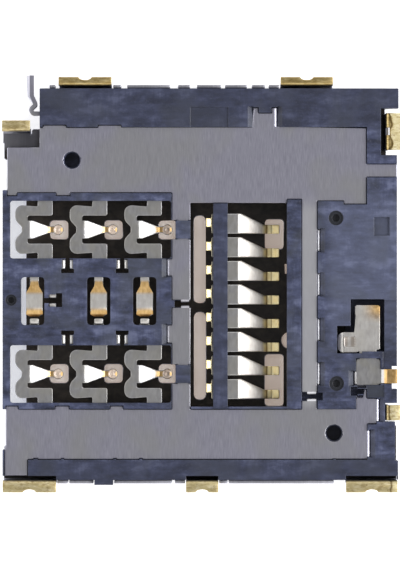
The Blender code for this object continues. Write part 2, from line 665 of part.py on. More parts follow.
def lower_plate_outline():
    """Edge of the plate below the SIM windows, with its ear and left corner."""
    bar_low = SIM_ROWS_Y[1] - WINDOW_HALF - SIM_BAR_LOW
    left = [(CORNER[0], CORNER[2]), (CORNER[0], CORNER[3]), (CORNER[1], CORNER[3]),
            (CORNER[1], PLATE_LOW)] + stepped(PLATE_LOW, LOWER_STEP[1], LOWER_NICKS)
    right = STRIP_RIGHT_X + STRIP_RIGHT
    strip = waist(1, False) + [(WELL_LEFT, LEFT_CUT[1]), (STRIP_LEFT_X, LEFT_CUT[1])]
    strip += waist(1, True) + [(STRIP_LEFT_X, bar_low)]
    return left + [
        (LOWER_RIGHT, PLATE_LOW), (LOWER_RIGHT, EAR[3]), (EAR[1], EAR[3]), (EAR[1], EAR[2]),
        (STUMP[1], EAR[2]), (STUMP[1], STUMP[2]), (STUMP[0], STUMP[2]), (STUMP[0], EAR[2]),
        (EAR[0], EAR[2]), (EAR[0], bar_low), (right, bar_low), (right, RIGHT_CUT[1]),
        (STRIP_RIGHT_X, RIGHT_CUT[1]), (STRIP_RIGHT_X, bar_low), (WELL_LEFT, bar_low)
    ] + strip + stepped(bar_low, LOWER_STEP[0], LOWER_TEETH)[:-1] + [
        (LOWER_TEETH[-1][1] * MM, CORNER[2])]


def wedge(name, x0, y0, x1, y1):
    """Sheared edge that slopes from the sheet's top at (x0, y0) down towards (x1, y1).

    The edge runs along the longer side, and the slope falls across the shorter one.
    """
    across_x = abs(x1 - x0) < abs(y1 - y0)
    a, b = (x0, x1) if across_x else (y0, y1)
    back = a - LUG * (b - a)
    profile = [(back, LEAD_LOW), (b, LEAD_LOW), (b, LEAD_HIGH - SHEAR_DROP), (a, LEAD_HIGH),
               (back, LEAD_HIGH)]
    if across_x:
        return prism(name, [profile], -max(y0, y1), -min(y0, y1), parts, ALONG_Y)
    return prism(name, [profile], min(x0, x1), max(x0, x1), parts, ALONG_X)


def relief(x0, y0, x1, y1):
    """Slope cut into the resin beside a sheared edge, where the punch went past it."""
    way = 1 if x1 > x0 else -1
    depth = MOULD_HIGH - LEAD_HIGH + SHEAR_DROP
    over = SHEET / depth
    profile = [(x1, MOULD_HIGH - depth), (x1 + way * RELIEF * (1 + over), MOULD_HIGH + SHEET),
               (x1, MOULD_HIGH + SHEET)]
    return prism('relief', [profile], -max(y0, y1) - RELIEF_SIDE, -min(y0, y1) + RELIEF_SIDE,
                 cutters, ALONG_Y)


def footprint(x0, y0, x1, y1):
    """Ground plan of a sheared edge and of the flat sheet it springs from."""
    if abs(x1 - x0) < abs(y1 - y0):
        return rect(x0 - LUG * (x1 - x0), y0, x1, y1)
    return rect(x0, y0 - LUG * (y1 - y0), x1, y1)


def sheared_edges():
    """Where the plates show a bright sloped edge: (plate, x0, y0, x1, y1)."""
    right = STRIP_RIGHT_X + STRIP_RIGHT - SHEAR_STEP[0]
    left = STRIP_LEFT_X - SHEAR_STEP[1]
    y = LEFT_SHEARS_Y
    left_end = (WELL_LEFT - 0.44 * MM, WELL_LEFT - 0.06 * MM)
    right_end = (STRIP_RIGHT_X + 0.25 * MM, right - 0.02 * MM)
    edges = [('upper', right, high, right + BEVEL, high - SHEAR_LONG) for high in RIGHT_SHEARS_Y]
    return edges + [
        ('upper', left, y[0], left - BEVEL, y[1]),
        ('lower', left, y[2], left - BEVEL, y[3]),
        ('upper', TONGUE[0], HORN, TONGUE[0] - BEVEL, PLATE_HIGH),
        ('upper', TONGUE[1], HORN, TONGUE[1] + BEVEL, PLATE_HIGH),
        ('upper', left_end[0], LEFT_CUT[0], left_end[1], LEFT_CUT[0] - SHEAR_NICK),
        ('lower', left_end[0], LEFT_CUT[1], left_end[1], LEFT_CUT[1] + SHEAR_NICK),
        ('upper', right_end[0], RIGHT_CUT[0], right_end[1], RIGHT_CUT[0] - SHEAR_NICK),
        ('lower', right_end[0], RIGHT_CUT[1], right_end[1], RIGHT_CUT[1] + SHEAR_NICK),
        ('lower', EAR[0] + SHEAR_STEP[0], EAR[2], STUMP[0] + 2 * CLEAR, EAR[2] + SHEAR_NICK),
        ('lower', EAR[1], EAR_SHEAR_Y[0], EAR[1] + BEVEL, EAR_SHEAR_Y[1]),
        ('lower', LOWER_RIGHT, LOWER_SHEAR_Y[0], LOWER_RIGHT + BEVEL, LOWER_SHEAR_Y[1]),
        ('switch', FOOT[0], FOOT_SHEAR_Y, FOOT[0] - SHEAR_NICK, FOOT[3]),
        ('switch', FOOT[0] + 0.07 * MM, FOOT[3], FOOT[0] + 0.44 * MM, FOOT[3] - SHEAR_NICK)]


def floor_plate(name, which, outline, material):
    """One floor plate with its sheared edges and its round hole."""
    plate = prism(name, [outline], LEAD_LOW, LEAD_HIGH, parts)
    for owner, x0, y0, x1, y1 in sheared_edges():
        if owner == which:
            unite(plate, wedge(name + '_edge', x0, y0, x1, y1))
    for x, y in HOLES:
        pin = prism(name + '_hole', [circle(x, y, HOLE)], LEAD_LOW - SHEET, ABOVE, cutters)
        combine(plate, pin, 'DIFFERENCE')
    dress(plate, material)


# Card detect switch: one strip of the lead frame, whose finger the memory card's edge lifts

def switch_outlines():
    """Flat strip of the switch: blade, neck under the bar, foot."""
    return [rounded(rect(BLADE[0], BLADE[3], BLADE[1], BLADE[2]), 0.10 * MM),
            rect(NECK[0], BLADE[3] + 0.1 * MM, NECK[1], FOOT[2] - 0.1 * MM),
            rounded(rect(FOOT[0], FOOT[3], FOOT[1], FOOT[2]), 0.06 * MM)]


def detect_switch(name):
    """Spring blade with a bent finger, and a foot whose tail is soldered to the board."""
    level = (LEAD_LOW + LEAD_HIGH) / 2
    blade_y = (BLADE[2] - 0.45 * MM, BLADE[2])
    plan = prism(name, [switch_outlines()[0]], MOULD_LOW, ABOVE, parts)
    line = eased([(BLADE[3] - 0.1 * MM, level), (blade_y[0], level),
                  (blade_y[1] + 0.05 * MM, level - BLADE_DIP)], 0.2 * MM)
    sheet = prism(name + '_side', [band(line)], BLADE[0] - SHEET, BLADE[1] + SHEET,
                  cutters, ALONG_X)
    combine(plan, sheet, 'INTERSECT')
    for outline in switch_outlines()[1:]:
        unite(plan, prism(name + '_strip', [outline], LEAD_LOW, LEAD_HIGH, parts))
    finger = rounded(rect(FINGER[0], FINGER[2], BLADE[0] + 0.3 * MM, FINGER[1]), 0.28 * MM)
    tip = prism(name + '_finger', [finger], MOULD_LOW, ABOVE, parts)
    pocket = prism(name + '_pocket', [rounded(rect(*FINGER_POCKET), 0.08 * MM)],
                   LEAD_HIGH - FINGER_DEEP, ABOVE, cutters)
    side = eased([(BLADE[0] + 0.4 * MM, level), (FINGER[0] + 0.30 * MM, level),
                  (FINGER[0] - 0.02 * MM, level - FINGER_DIP)], 0.25 * MM)
    bent = prism(name + '_bend', [band(side)], -FINGER[1] - SHEET, -FINGER[2] + SHEET,
                 cutters, ALONG_Y)
    combine(tip, bent, 'INTERSECT')
    unite(plan, tip)
    combine(plan, pocket, 'DIFFERENCE')
    out = prism(name + '_out', [rect(FOOT[1] - 0.2 * MM, SWITCH_TAIL[2], SWITCH_TAIL[0],
                                     SWITCH_TAIL[1])], MOULD_LOW, ABOVE, parts)
    rise = eased([(FOOT[1] - 0.3 * MM, level), (FOOT[1] + 0.08 * MM, level),
                  (FOOT[1] + 0.36 * MM, BOARD - SHEET / 2),
                  (SWITCH_TAIL[0] + 0.1 * MM, BOARD - SHEET / 2)], 0.15 * MM)
    ramp = prism(name + '_ramp', [band(rise)], -FOOT[2], -SWITCH_TAIL[2] + SHEET,
                 cutters, ALONG_Y)
    unite(plan, combine(out, ramp, 'INTERSECT'))
    for owner, x0, y0, x1, y1 in sheared_edges():
        if owner == 'switch':
            unite(plan, wedge(name + '_edge', x0, y0, x1, y1))
    dress(plan, plated)


# Moulding: one block cut open for the cards, the bare sheet and the contacts

def mould_outline():
    """Outer edge of the moulding seen from the board side."""
    return [(STEP_X, TOP), (STEP_X, STEP_Y), (PLATE_LEFT + 0.04 * MM, STEP_Y),
            (PLATE_LEFT + 0.04 * MM, 4.36 * MM), (LEFT, 4.36 * MM), (LEFT, -5.84 * MM),
            (-9.10 * MM, -5.84 * MM), (-9.10 * MM, -7.73 * MM), (LEFT, -7.73 * MM),
            (LEFT, BOTTOM), (-5.03 * MM, BOTTOM), (-5.03 * MM, BOTTOM - KEY),
            (-4.17 * MM, BOTTOM - KEY), (-4.17 * MM, BOTTOM), (9.10 * MM, BOTTOM),
            (9.10 * MM, -8.24 * MM), (8.96 * MM, -8.24 * MM), (8.96 * MM, -6.42 * MM),
            (8.49 * MM, -6.42 * MM), (8.49 * MM, -5.55 * MM), (RIGHT, -5.55 * MM),
            (RIGHT, -4.90 * MM), (8.81 * MM, -4.90 * MM), (8.81 * MM, -3.83 * MM),
            (RIGHT, -3.83 * MM), (RIGHT, 5.99 * MM), (8.30 * MM, 5.99 * MM),
            (8.30 * MM, 8.17 * MM), (9.12 * MM, 8.17 * MM), (9.12 * MM, TOP)]


def joined(name, solids, collection):
    """Put separate closed solids into one object without welding them."""
    shape = bmesh.new()
    for solid in solids:
        shape.from_mesh(solid.data)
        used = solid.data
        bpy.data.objects.remove(solid)
        bpy.data.meshes.remove(used)
    mesh = bpy.data.meshes.new(name)
    shape.to_mesh(mesh)
    shape.free()
    result = bpy.data.objects.new(name, mesh)
    collection.objects.link(result)
    return result


def cutter(name, outlines, low, high):
    """A group of prisms that cut the same target."""
    return joined(name, [prism(name, [o], low, high, cutters) for o in outlines], cutters)


def cut_with(target, tool, operation='DIFFERENCE'):
    """Keep the cut as a live exact boolean and hide its tool."""
    modifier = target.modifiers.new(tool.name, 'BOOLEAN')
    modifier.operation = operation
    modifier.solver = 'EXACT'
    modifier.use_self = True
    modifier.object = tool
    tool.hide_render = True
    tool.display_type = 'WIRE'


def window_outlines():
    """Openings that go through the floor of the moulding."""
    left = SIM_ROOT_X - WINDOW_LEFT
    right = sim_root_x(SIM_COLUMNS - 1) + WINDOW_RIGHT
    outlines = []
    for y in SIM_ROWS_Y:
        outlines.append(rounded(rect(left, y - WINDOW_HALF, right, y + WINDOW_HALF), WINDOW_ROUND))
        outlines.append(rect(right - 0.1 * MM, y - SPOON_BAY_HALF, right + SPOON_BAY,
                             y + SPOON_BAY_HALF))
    for x in TAIL_WINDOWS_X:
        outlines.append(rounded(rect(x, TAIL_WINDOW_LOW, x + TAIL_WINDOW, TAIL_WINDOW_TOP),
                                TAIL_WINDOW_ROUND))
    for row, y in enumerate(SIM_ROWS_Y):
        way = -1 if row == 0 else 1
        for column in range(SIM_COLUMNS - 1):
            x = tie_cut_x(column)
            outlines.append(rect(x - TIE_CUT / 2, y + way * (WINDOW_HALF - 0.05 * MM),
                                 x + TIE_CUT / 2, y + way * (TIE_FAR + 0.1 * MM)))
            outlines.append(rect(x - TIE_FOOT / 2, y + way * (TIE_FAR + 0.02 * MM),
                                 x + TIE_FOOT / 2, y + way * (TIE_FAR + 0.20 * MM)))
    cross_x = SIM_ROOT_X + CROSS_TIE[1]
    outlines.append(rect(TAIL_WINDOWS_X[0] + TAIL_WINDOW - 0.1 * MM, CROSS_CUT_Y[1],
                         cross_x + 0.1 * MM, CROSS_CUT_Y[0]))
    outlines.append(rect(cross_x, CROSS_CUT_Y[1] - 0.18 * MM, cross_x + 0.28 * MM,
                         CROSS_CUT_Y[0] + 0.22 * MM))
    outlines.append(rect(WELL_LEFT - 0.74 * MM, LEFT_CUT[1] + 0.03 * MM, WELL_LEFT + 0.1 * MM,
                         LEFT_CUT[0] - 0.03 * MM))
    outlines.append(rect(STRIP_RIGHT_X, RIGHT_CUT[1] + 0.03 * MM,
                         STRIP_RIGHT_X + STRIP_RIGHT + 0.26 * MM, RIGHT_CUT[0] - 0.03 * MM))
    outlines.append(rect(WELL_LEFT, WELL_LOW, BAR_LEFT, WELL_HIGH))
    outlines.append(rect(BAR_RIGHT, WELL_LOW, WELL_RIGHT, WELL_HIGH))
    return outlines + [rect(*slot) for slot in FOOT_SLOTS]


def switch_well_outlines():
    """The well of the switch: room round the blade and the finger."""
    return [rect(SWITCH_WELL_X[0], SWITCH_WELL_Y[1], SWITCH_WELL_X[1], SWITCH_WELL_Y[0]),
            rect(FINGER[0] - 0.02 * MM, FINGER[2] - 0.04 * MM, BLADE[0] + 0.33 * MM,
                 FINGER[1] + 0.30 * MM)]


def bare_outlines():
    """Where the resin leaves the sheet bare from its underside up."""
    outlines = [grown(upper_plate_outline(), CLEAR), grown(lower_plate_outline(), CLEAR),
                grown(rect(FOOT[0], FOOT[3], FOOT[1], FOOT[2]), CLEAR),
                rect(FOOT[1] - 0.1 * MM, SWITCH_TAIL[2] - CLEAR, RIGHT + SHEET,
                     SWITCH_TAIL[1] + CLEAR)]
    for row, y in enumerate(SIM_ROWS_Y):
        way = -1 if row == 0 else 1
        for column in range(SIM_COLUMNS - 1):
            x = tie_cut_x(column)
            shown = rect(x - SHOWN, y + way * TIE_NEAR, x + SHOWN, y + way * TIE_FAR)
            outlines.append(grown(shown, CLEAR))
    for _, x0, y0, x1, y1 in sheared_edges():
        outlines.append(grown(footprint(x0, y0, x1, y1), CLEAR))
    cross = (SIM_ROOT_X + CROSS_TIE[0], SIM_ROOT_X + CROSS_TIE[1])
    for row, way in ((0, -1), (1, 1)):
        shown = rect(cross[0], CROSS_CUT_Y[row] - way * TIE_SHOW, cross[1], CROSS_CUT_Y[row])
        outlines.append(grown(shown, CLEAR))
    return outlines


def held_outlines():
    """Sheet that lies inside the resin: stubs, links, tie bars, roots and the switch neck."""
    outlines = []
    for row, y in enumerate(SIM_ROWS_Y):
        for column in range(SIM_COLUMNS):
            x = sim_root_x(column)
            outlines.append(rect(x + STUB_FROM, y - WINDOW_HALF - HOLD, x + ARM_REACH,
                                 y + WINDOW_HALF + HOLD))
            outlines += link_outlines(column, row)
    for pin in range(MEMORY_PINS):
        y = memory_pin_y(pin)
        outlines.append(rect(MEMORY_ROOT_X, y - MEMORY_ROOT / 2, MEMORY_BEND_X,
                             y + MEMORY_ROOT / 2))
    outlines.append(switch_outlines()[1])
    outlines += [rect(WAIST[0], y - WINDOW_HALF / 2, WAIST[1], y + WINDOW_HALF / 2)
                 for y in SIM_ROWS_Y]
    return [grown(outline, CLEAR) for outline in outlines]


def moulding(name):
    """The resin body."""
    body = prism(name, [mould_outline()], MOULD_LOW, MOULD_HIGH, parts)
    front = LEFT - 1.0 * MM
    sim = rect(front, SIM_CENTRE_Y - SIM_WIDTH / 2, SIM_STOP_X, SIM_CENTRE_Y + SIM_WIDTH / 2)
    memory = rect(front, MEMORY_CENTRE_Y - MEMORY_WIDTH / 2, MEMORY_STOP_X,
                  MEMORY_CENTRE_Y + MEMORY_WIDTH / 2)
    well = rect(WELL_LEFT, WELL_LOW, WELL_RIGHT, WELL_HIGH)
    cut_with(body, cutter('sim_slot', [sim], MEMORY_TOP, SIM_TOP))
    cut_with(body, cutter('memory_slot', [memory], -SHEET, MEMORY_TOP + 0.01 * MM))
    cut_with(body, cutter('well', [well], MEMORY_TOP - SHEET, SIM_TOP))
    cut_with(body, cutter('windows', window_outlines(), SIM_TOP - SHEET, ABOVE))
    cut_with(body, cutter('switch_well', switch_well_outlines(), MEMORY_TOP - SHEET, ABOVE))
    cut_with(body, cutter('bare_sheet', bare_outlines(), LEAD_LOW - CLEAR, ABOVE))
    bay = sim_root_x(SIM_COLUMNS - 1) + WINDOW_RIGHT + SPOON_BAY
    half = SPOON_BAY_HALF - CLEAR
    bridges = [rect(bay, y - half, WELL_LEFT, y + half) for y in SIM_ROWS_Y]
    cut_with(body, cutter('bridges', bridges, SIM_TOP, MOULD_HIGH), 'UNION')
    cut_with(body, cutter('held_sheet', held_outlines(), LEAD_LOW - CLEAR, LEAD_HIGH + CLEAR))
    bays = [rect(x0 * MM, BOTTOM - SHEET, x1 * MM, BOTTOM + TAB_BAY) for x0, x1 in LOW_TABS]
    cut_with(body, cutter('tab_bays', bays, MOULD_LOW - SHEET, ABOVE))
    pits = [circle(x, y, PIT) for x, y in HOLES]
    cut_with(body, cutter('locating_pits', pits, PIT_FLOOR, LEAD_LOW))
    marks = [circle(x, y, MARK_ROUND[0]) for x, y in EJECTORS]
    marks += [circle(*THIRD_MARK, THIRD_ROUND[0]), rect(*SQUARE_MARK)]
    cut_with(body, cutter('ejector_marks', marks, MOULD_HIGH - MARK_DEEP, ABOVE))
    dimples = [circle(x, y, MARK_ROUND[1]) for x, y in EJECTORS]
    dimples.append(circle(*THIRD_MARK, THIRD_ROUND[1]))
    cut_with(body, cutter('ejector_dimples', dimples, SIM_TOP + FLOOR, ABOVE))
    pockets = [rect(*POCKET), rect(*FOOT_POCKET)]
    cut_with(body, cutter('pockets', pockets, MOULD_HIGH - POCKET_DEEP, ABOVE))
    reliefs = [relief(x0, y0, x1, y1) for _, x0, y0, x1, y1 in sheared_edges()
               if abs(x1 - x0) < abs(y1 - y0)]
    cut_with(body, joined('reliefs', reliefs, cutters))
    ledge = rect(SWITCH_WELL_X[1] - 0.06 * MM, FOOT[2] - 0.42 * MM, RIGHT + SHEET,
                 SWITCH_WELL_Y[0] - 0.05 * MM)
    cut_with(body, cutter('ledge', [ledge], MOULD_HIGH - LEDGE_DEEP, ABOVE))
    leaf = grown(band(leaf_line()[:2], LEAF), CLEAR)
    cut_with(body, cutter('leaf_slot', [leaf], LEAF_Z[0] - CLEAR, LEAF_Z[1] + CLEAR))
    body.data.materials.append(resin)


# Side spring leaf: a bent steel strip pressed into the upper left corner

def leaf_line():
    """Middle line of the leaf seen from the board side, from its root outwards."""
    return [(STEP_X + 0.55 * MM, 7.93 * MM), (-7.90 * MM, 7.93 * MM), (-8.02 * MM, 8.12 * MM),
            (-7.76 * MM, 8.34 * MM), (-7.95 * MM, 8.75 * MM), (-7.95 * MM, 9.71 * MM)]


def side_leaf(name):
    """The leaf, standing on edge."""
    leaf = prism(name, [band(eased(leaf_line(), 0.12 * MM), LEAF)], LEAF_Z[0], LEAF_Z[1], parts)
    end_y = leaf_line()[-1][1]
    for vertex in leaf.data.vertices:
        if vertex.co.y > LEAF_BEND_Y and vertex.co.z < LEAF_Z[1] - CLEAR:
            share = 2 * (vertex.co.y - LEAF_BEND_Y) / (end_y - LEAF_BEND_Y)
            vertex.co.x -= LEAF_LEAN * min(1, share)
    dress(leaf, steel)


# Cover: one stamped and folded steel shell with its solder tabs

def cover_outline():
    """Flat part of the cover, short of the bent walls."""
    inset = CLEAR + BEND
    top, low = TOP - inset, BOTTOM + inset
    scoop = [(COVER_LEFT, SCOOP_Y[0]), (COVER_LEFT + SCOOP, SCOOP_Y[0] - 0.6 * MM),
             (COVER_LEFT + SCOOP, SCOOP_Y[1] + 0.6 * MM), (COVER_LEFT, SCOOP_Y[1])]
    corner_y = CORNER_WALL_Y - SHEET - BEND
    post = CORNER_TAB[1] + 0.04 * MM
    return [(STEP_X, top), (STEP_X, CORNER_WALL_Y), (post, CORNER_WALL_Y), (post, corner_y),
            (COVER_LEFT, corner_y)] + scoop + [
        (COVER_LEFT, low), (COVER_CORNER_X, low), (COVER_CORNER_X, COVER_CORNER_Y),
        (COVER_RIGHT - BEND, COVER_CORNER_Y), (COVER_RIGHT - BEND, top)]


def fold(name, x0, x1, edge, outward, tab, high):
    """A wall folded up from the cover along X, with or without a tab turned outwards."""
    outer = edge + outward * (CLEAR + SHEET / 2)
    line = [(edge - outward * 0.5 * MM, SHEET / 2), (outer, SHEET / 2)]
    if tab:
        line += [(outer, BOARD - SHEET / 2), (outer + outward * (tab + SHEET / 2),
                                              BOARD - SHEET / 2)]
    else:
        line.append((outer, high))
    return prism(name, [band(eased(line, BEND, 3))], x0, x1, parts, ALONG_X)


def fold_right(name, y0, y1, end):
    """A tab folded up from the cover along Y on its right side."""
    outer = COVER_RIGHT - SHEET / 2
    line = [(outer - 0.5 * MM, SHEET / 2), (outer, SHEET / 2), (outer, BOARD - SHEET / 2),
            (end, BOARD - SHEET / 2 - TAB_SLOPE)]
    return prism(name, [band(eased(line, BEND, 3))], -max(y0, y1), -min(y0, y1), parts, ALONG_Y)


def cover_openings():
    """Openings behind the contact tips and tails, and two round and slot windows."""
    outlines = []
    back, half_x, half_y, corner = SPOON_OPENING
    for y in SIM_ROWS_Y:
        for column in range(SIM_COLUMNS):
            x = sim_root_x(column) + SIM_REACH - back
            outlines.append(rounded(rect(x - half_x, y - half_y, x + half_x, y + half_y), corner))
    for y0, y1 in TIP_OPENINGS_Y:
        outlines.append(rounded(rect(MEMORY_TIP_X - TIP_OPENING[0], y0 * MM,
                                     MEMORY_TIP_X + TIP_OPENING[1], y1 * MM), TIP_OPENING[2]))
    for y0, y1 in TAIL_OPENINGS_Y:
        outlines.append(rounded(rect(MEMORY_TAIL_X - TAIL_OPENING[0], y0 * MM,
                                     MEMORY_TAIL_X - TAIL_OPENING[1], y1 * MM), TAIL_OPENING[2]))
    return outlines + [circle(*ROUND_OPENING, 20), rect(*SMALL_OPENING)]


def cover(name):
    """The folded shell."""
    shell = prism(name, [rounded(cover_outline(), 0.09 * MM)], 0, SHEET, parts)
    pieces = []
    for x0, x1 in TOP_WALLS:
        pieces.append(fold(name + '_wall', x0 * MM, x1 * MM, TOP, 1, 0, WALL_HIGH))
    for x0, x1 in LOW_WALLS:
        pieces.append(fold(name + '_wall', x0 * MM, x1 * MM, BOTTOM, -1, 0, WALL_HIGH))
    for x0, x1 in TOP_TABS:
        pieces.append(fold(name + '_tab', x0 * MM, x1 * MM, TOP + TAB_GAP, 1,
                           TAB_OUT - TAB_GAP, 0))
    for x0, x1 in LOW_TABS:
        pieces.append(fold(name + '_tab', x0 * MM, x1 * MM, BOTTOM, -1, TAB_OUT + LOW_TAB_MORE, 0))
    for y0, y1 in RIGHT_TABS:
        pieces.append(fold_right(name + '_tab', y0 * MM, y1 * MM, RIGHT_TAB_END))
    pieces.append(fold(name + '_tab', CORNER_TAB[0], CORNER_TAB[1], CORNER_WALL_Y - CLEAR - SHEET,
                       1, TAB_OUT, 0))
    for piece in pieces:
        unite(shell, piece)
    cut_with(shell, cutter('cover_openings', cover_openings(), -SHEET, 2 * SHEET))
    notches = []
    for x0, x1 in TOP_TABS:
        notches.append(((x0 + x1) / 2 * MM, TOP + CLEAR + SHEET + TAB_OUT))
    for x0, x1 in LOW_TABS:
        notches.append(((x0 + x1) / 2 * MM, BOTTOM - CLEAR - SHEET - TAB_OUT - LOW_TAB_MORE))
    outlines = [[(x + TAB_NOTCH[0] * math.cos(t * math.pi / 8),
                  y + TAB_NOTCH[1] * math.sin(t * math.pi / 8)) for t in range(16)]
                for x, y in notches]
    cut_with(shell, cutter('tab_notches', outlines, BOARD - 2 * SHEET, ABOVE))
    bend = rect(COVER_RIGHT - SHEET - CLEAR, TAB_RELIEF[0], COVER_RIGHT + 1.5 * CLEAR, TAB_RELIEF[1])
    cut_with(shell, cutter('bend_relief', [bend], BOARD - 3 * SHEET, ABOVE))
    shell.data.materials.append(steel)
    finish_edges(shell)


for row in range(len(SIM_ROWS_Y)):
    for column in range(SIM_COLUMNS):
        sim_contact(column, row)
for pin in range(MEMORY_PINS):
    memory_contact(pin)
floor_plate('upper_floor_plate', 'upper', upper_plate_outline(), steel)
floor_plate('lower_floor_plate', 'lower', lower_plate_outline(), steel)
detect_switch('detect_switch_spring')
moulding('insulator_moulding')
side_leaf('side_spring_leaf')
cover('cover_shell')
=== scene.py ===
import math

import bmesh
import bpy
import numpy as np
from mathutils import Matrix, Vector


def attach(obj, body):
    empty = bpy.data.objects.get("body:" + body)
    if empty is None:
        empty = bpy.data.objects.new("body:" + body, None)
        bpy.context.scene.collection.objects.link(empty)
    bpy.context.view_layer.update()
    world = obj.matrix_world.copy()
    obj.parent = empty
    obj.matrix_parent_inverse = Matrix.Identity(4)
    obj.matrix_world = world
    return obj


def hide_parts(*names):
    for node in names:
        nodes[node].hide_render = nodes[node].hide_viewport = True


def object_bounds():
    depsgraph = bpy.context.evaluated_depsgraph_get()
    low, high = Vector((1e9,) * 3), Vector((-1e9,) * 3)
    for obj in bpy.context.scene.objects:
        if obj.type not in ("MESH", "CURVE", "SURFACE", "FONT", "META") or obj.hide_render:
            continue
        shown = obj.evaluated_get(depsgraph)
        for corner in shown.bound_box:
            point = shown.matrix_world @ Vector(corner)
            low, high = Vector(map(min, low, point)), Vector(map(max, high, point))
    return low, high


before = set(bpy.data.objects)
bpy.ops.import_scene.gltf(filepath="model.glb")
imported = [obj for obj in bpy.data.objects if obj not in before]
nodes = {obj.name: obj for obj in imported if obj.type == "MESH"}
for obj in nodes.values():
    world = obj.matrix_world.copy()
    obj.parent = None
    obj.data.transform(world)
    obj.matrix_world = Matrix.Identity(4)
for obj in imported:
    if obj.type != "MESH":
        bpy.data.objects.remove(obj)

cad_low, cad_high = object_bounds()

# The view and the studio: the socket lies on its cover on a pale table and is seen straight
# from above, through a long lens. Soft boxes stand round it and the ceiling over it is dim,
# so flat metal mirrors grey and every bend mirrors a bright box.

# The photograph is 570 pixels tall and shows 21.5 of them to a millimetre
MM = 0.001
PICTURE_TALL, PIXELS_PER_MM = 570, 21.5
LONG_SIDE = PICTURE_TALL / PIXELS_PER_MM * MM
VIEW_MIDDLE = (-0.116 * MM, -0.058 * MM)
LENS, SENSOR = 500.0, 36.0

camera = bpy.data.objects.new("camera", bpy.data.cameras.new("camera"))
camera.data.lens = LENS
camera.data.sensor_width = SENSOR
camera.location = (*VIEW_MIDDLE, cad_high.z + LONG_SIDE * LENS / SENSOR)
camera.data.clip_start, camera.data.clip_end = 0.01, 10.0
bpy.context.scene.collection.objects.link(camera)
bpy.context.scene.camera = camera
bpy.context.scene.view_settings.view_transform = "Standard"

# Soft boxes half a metre away that lean over the table, one on each side. Each has its turn
# round the table and its lean in degrees, its height and width in metres, and its radiance.
BOX_FAR = 0.50
SOFT_BOXES = ((0, 56, 0.36, 0.36, 5.6), (90, 55, 0.30, 0.50, 0.7),
              (180, 55, 0.30, 0.50, 1.5), (270, 55, 0.30, 0.50, 0.7))
for turn, lean, tall, wide, radiance in SOFT_BOXES:
    lamp = bpy.data.lights.new(f"soft_box_{turn}", "AREA")
    lamp.shape = "RECTANGLE"
    lamp.size, lamp.size_y = tall, wide
    lamp.energy = math.pi * radiance * tall * wide
    stand = bpy.data.objects.new(lamp.name, lamp)
    turn, lean = math.radians(turn), math.radians(lean)
    stand.location = (BOX_FAR * math.sin(lean) * math.cos(turn),
                      BOX_FAR * math.sin(lean) * math.sin(turn), BOX_FAR * math.cos(lean))
    stand.rotation_euler = (0, lean, turn)
    bpy.context.scene.collection.objects.link(stand)


def linear(colour):
    """An sRGB hex colour such as 8d8d97 as linear red, green, blue and alpha. Each channel is
    divided by 12.92 where it is dark, and else raised to the power 2.4 after a small shift."""
    parts = [int(colour[i:i + 2], 16) / 255 for i in (0, 2, 4)]
    return (*[c / 12.92 if c <= 0.04045 else ((c + 0.055) / 1.055) ** 2.4 for c in parts], 1.0)


def add(tree, kind, inputs=None, stops=(), **settings):
    """Adds one shader node with its settings. An input is a number, a hex colour, or the socket
    or node that is linked to it, where a node stands for its first output. Stops are the places
    on a colour ramp, each with its hex colour or its grey."""
    node = tree.nodes.new("ShaderNode" + kind)
    for key, value in settings.items():
        setattr(node, key, value)
    for key, value in (inputs or {}).items():
        if isinstance(value, bpy.types.Node):
            value = value.outputs[0]
        if isinstance(value, bpy.types.NodeSocket):
            tree.links.new(value, node.inputs[key])
        else:
            node.inputs[key].default_value = linear(value) if isinstance(value, str) else value
    for _ in stops[2:]:
        node.color_ramp.elements.new(0.5)
    for number, (place, colour) in enumerate(stops):
        element = node.color_ramp.elements[number]
        element.position = place
        element.color = linear(colour) if isinstance(colour, str) else (colour, colour, colour, 1)
    return node


# The room: pale walls and a dim ceiling, with the brightness at each height
ROOM = ((0.0, 0.98), (0.35, 0.80), (0.70, 0.40), (0.93, 0.30))
world = bpy.data.worlds.new("studio")
world.use_nodes = True
bpy.context.scene.world = world
tree = world.node_tree
tree.nodes.clear()
up = add(tree, "SeparateXYZ", {0: add(tree, "TexCoord").outputs["Generated"]}).outputs["Z"]
room = add(tree, "ValToRGB", {"Fac": up}, stops=ROOM)
sky = add(tree, "Background", {"Color": room, "Strength": 1.0})
add(tree, "OutputWorld", {"Surface": sky})


def new_material(name):
    """A material with an empty node tree, and that tree."""
    material = bpy.data.materials.new(name)
    material.use_nodes = True
    material.node_tree.nodes.clear()
    return material, material.node_tree


def grains(tree, x, y, z, start=0.0):
    """The place on the piece counted in grains: each coordinate divided by the distance between
    grains along it, in millimetres, plus a start that sets one pattern off from another."""
    return add(tree, "Mapping", {"Vector": add(tree, "TexCoord").outputs["Object"],
                                 "Location": (start, start, start),
                                 "Scale": (1 / (x * MM), 1 / (y * MM), 1 / (z * MM))})


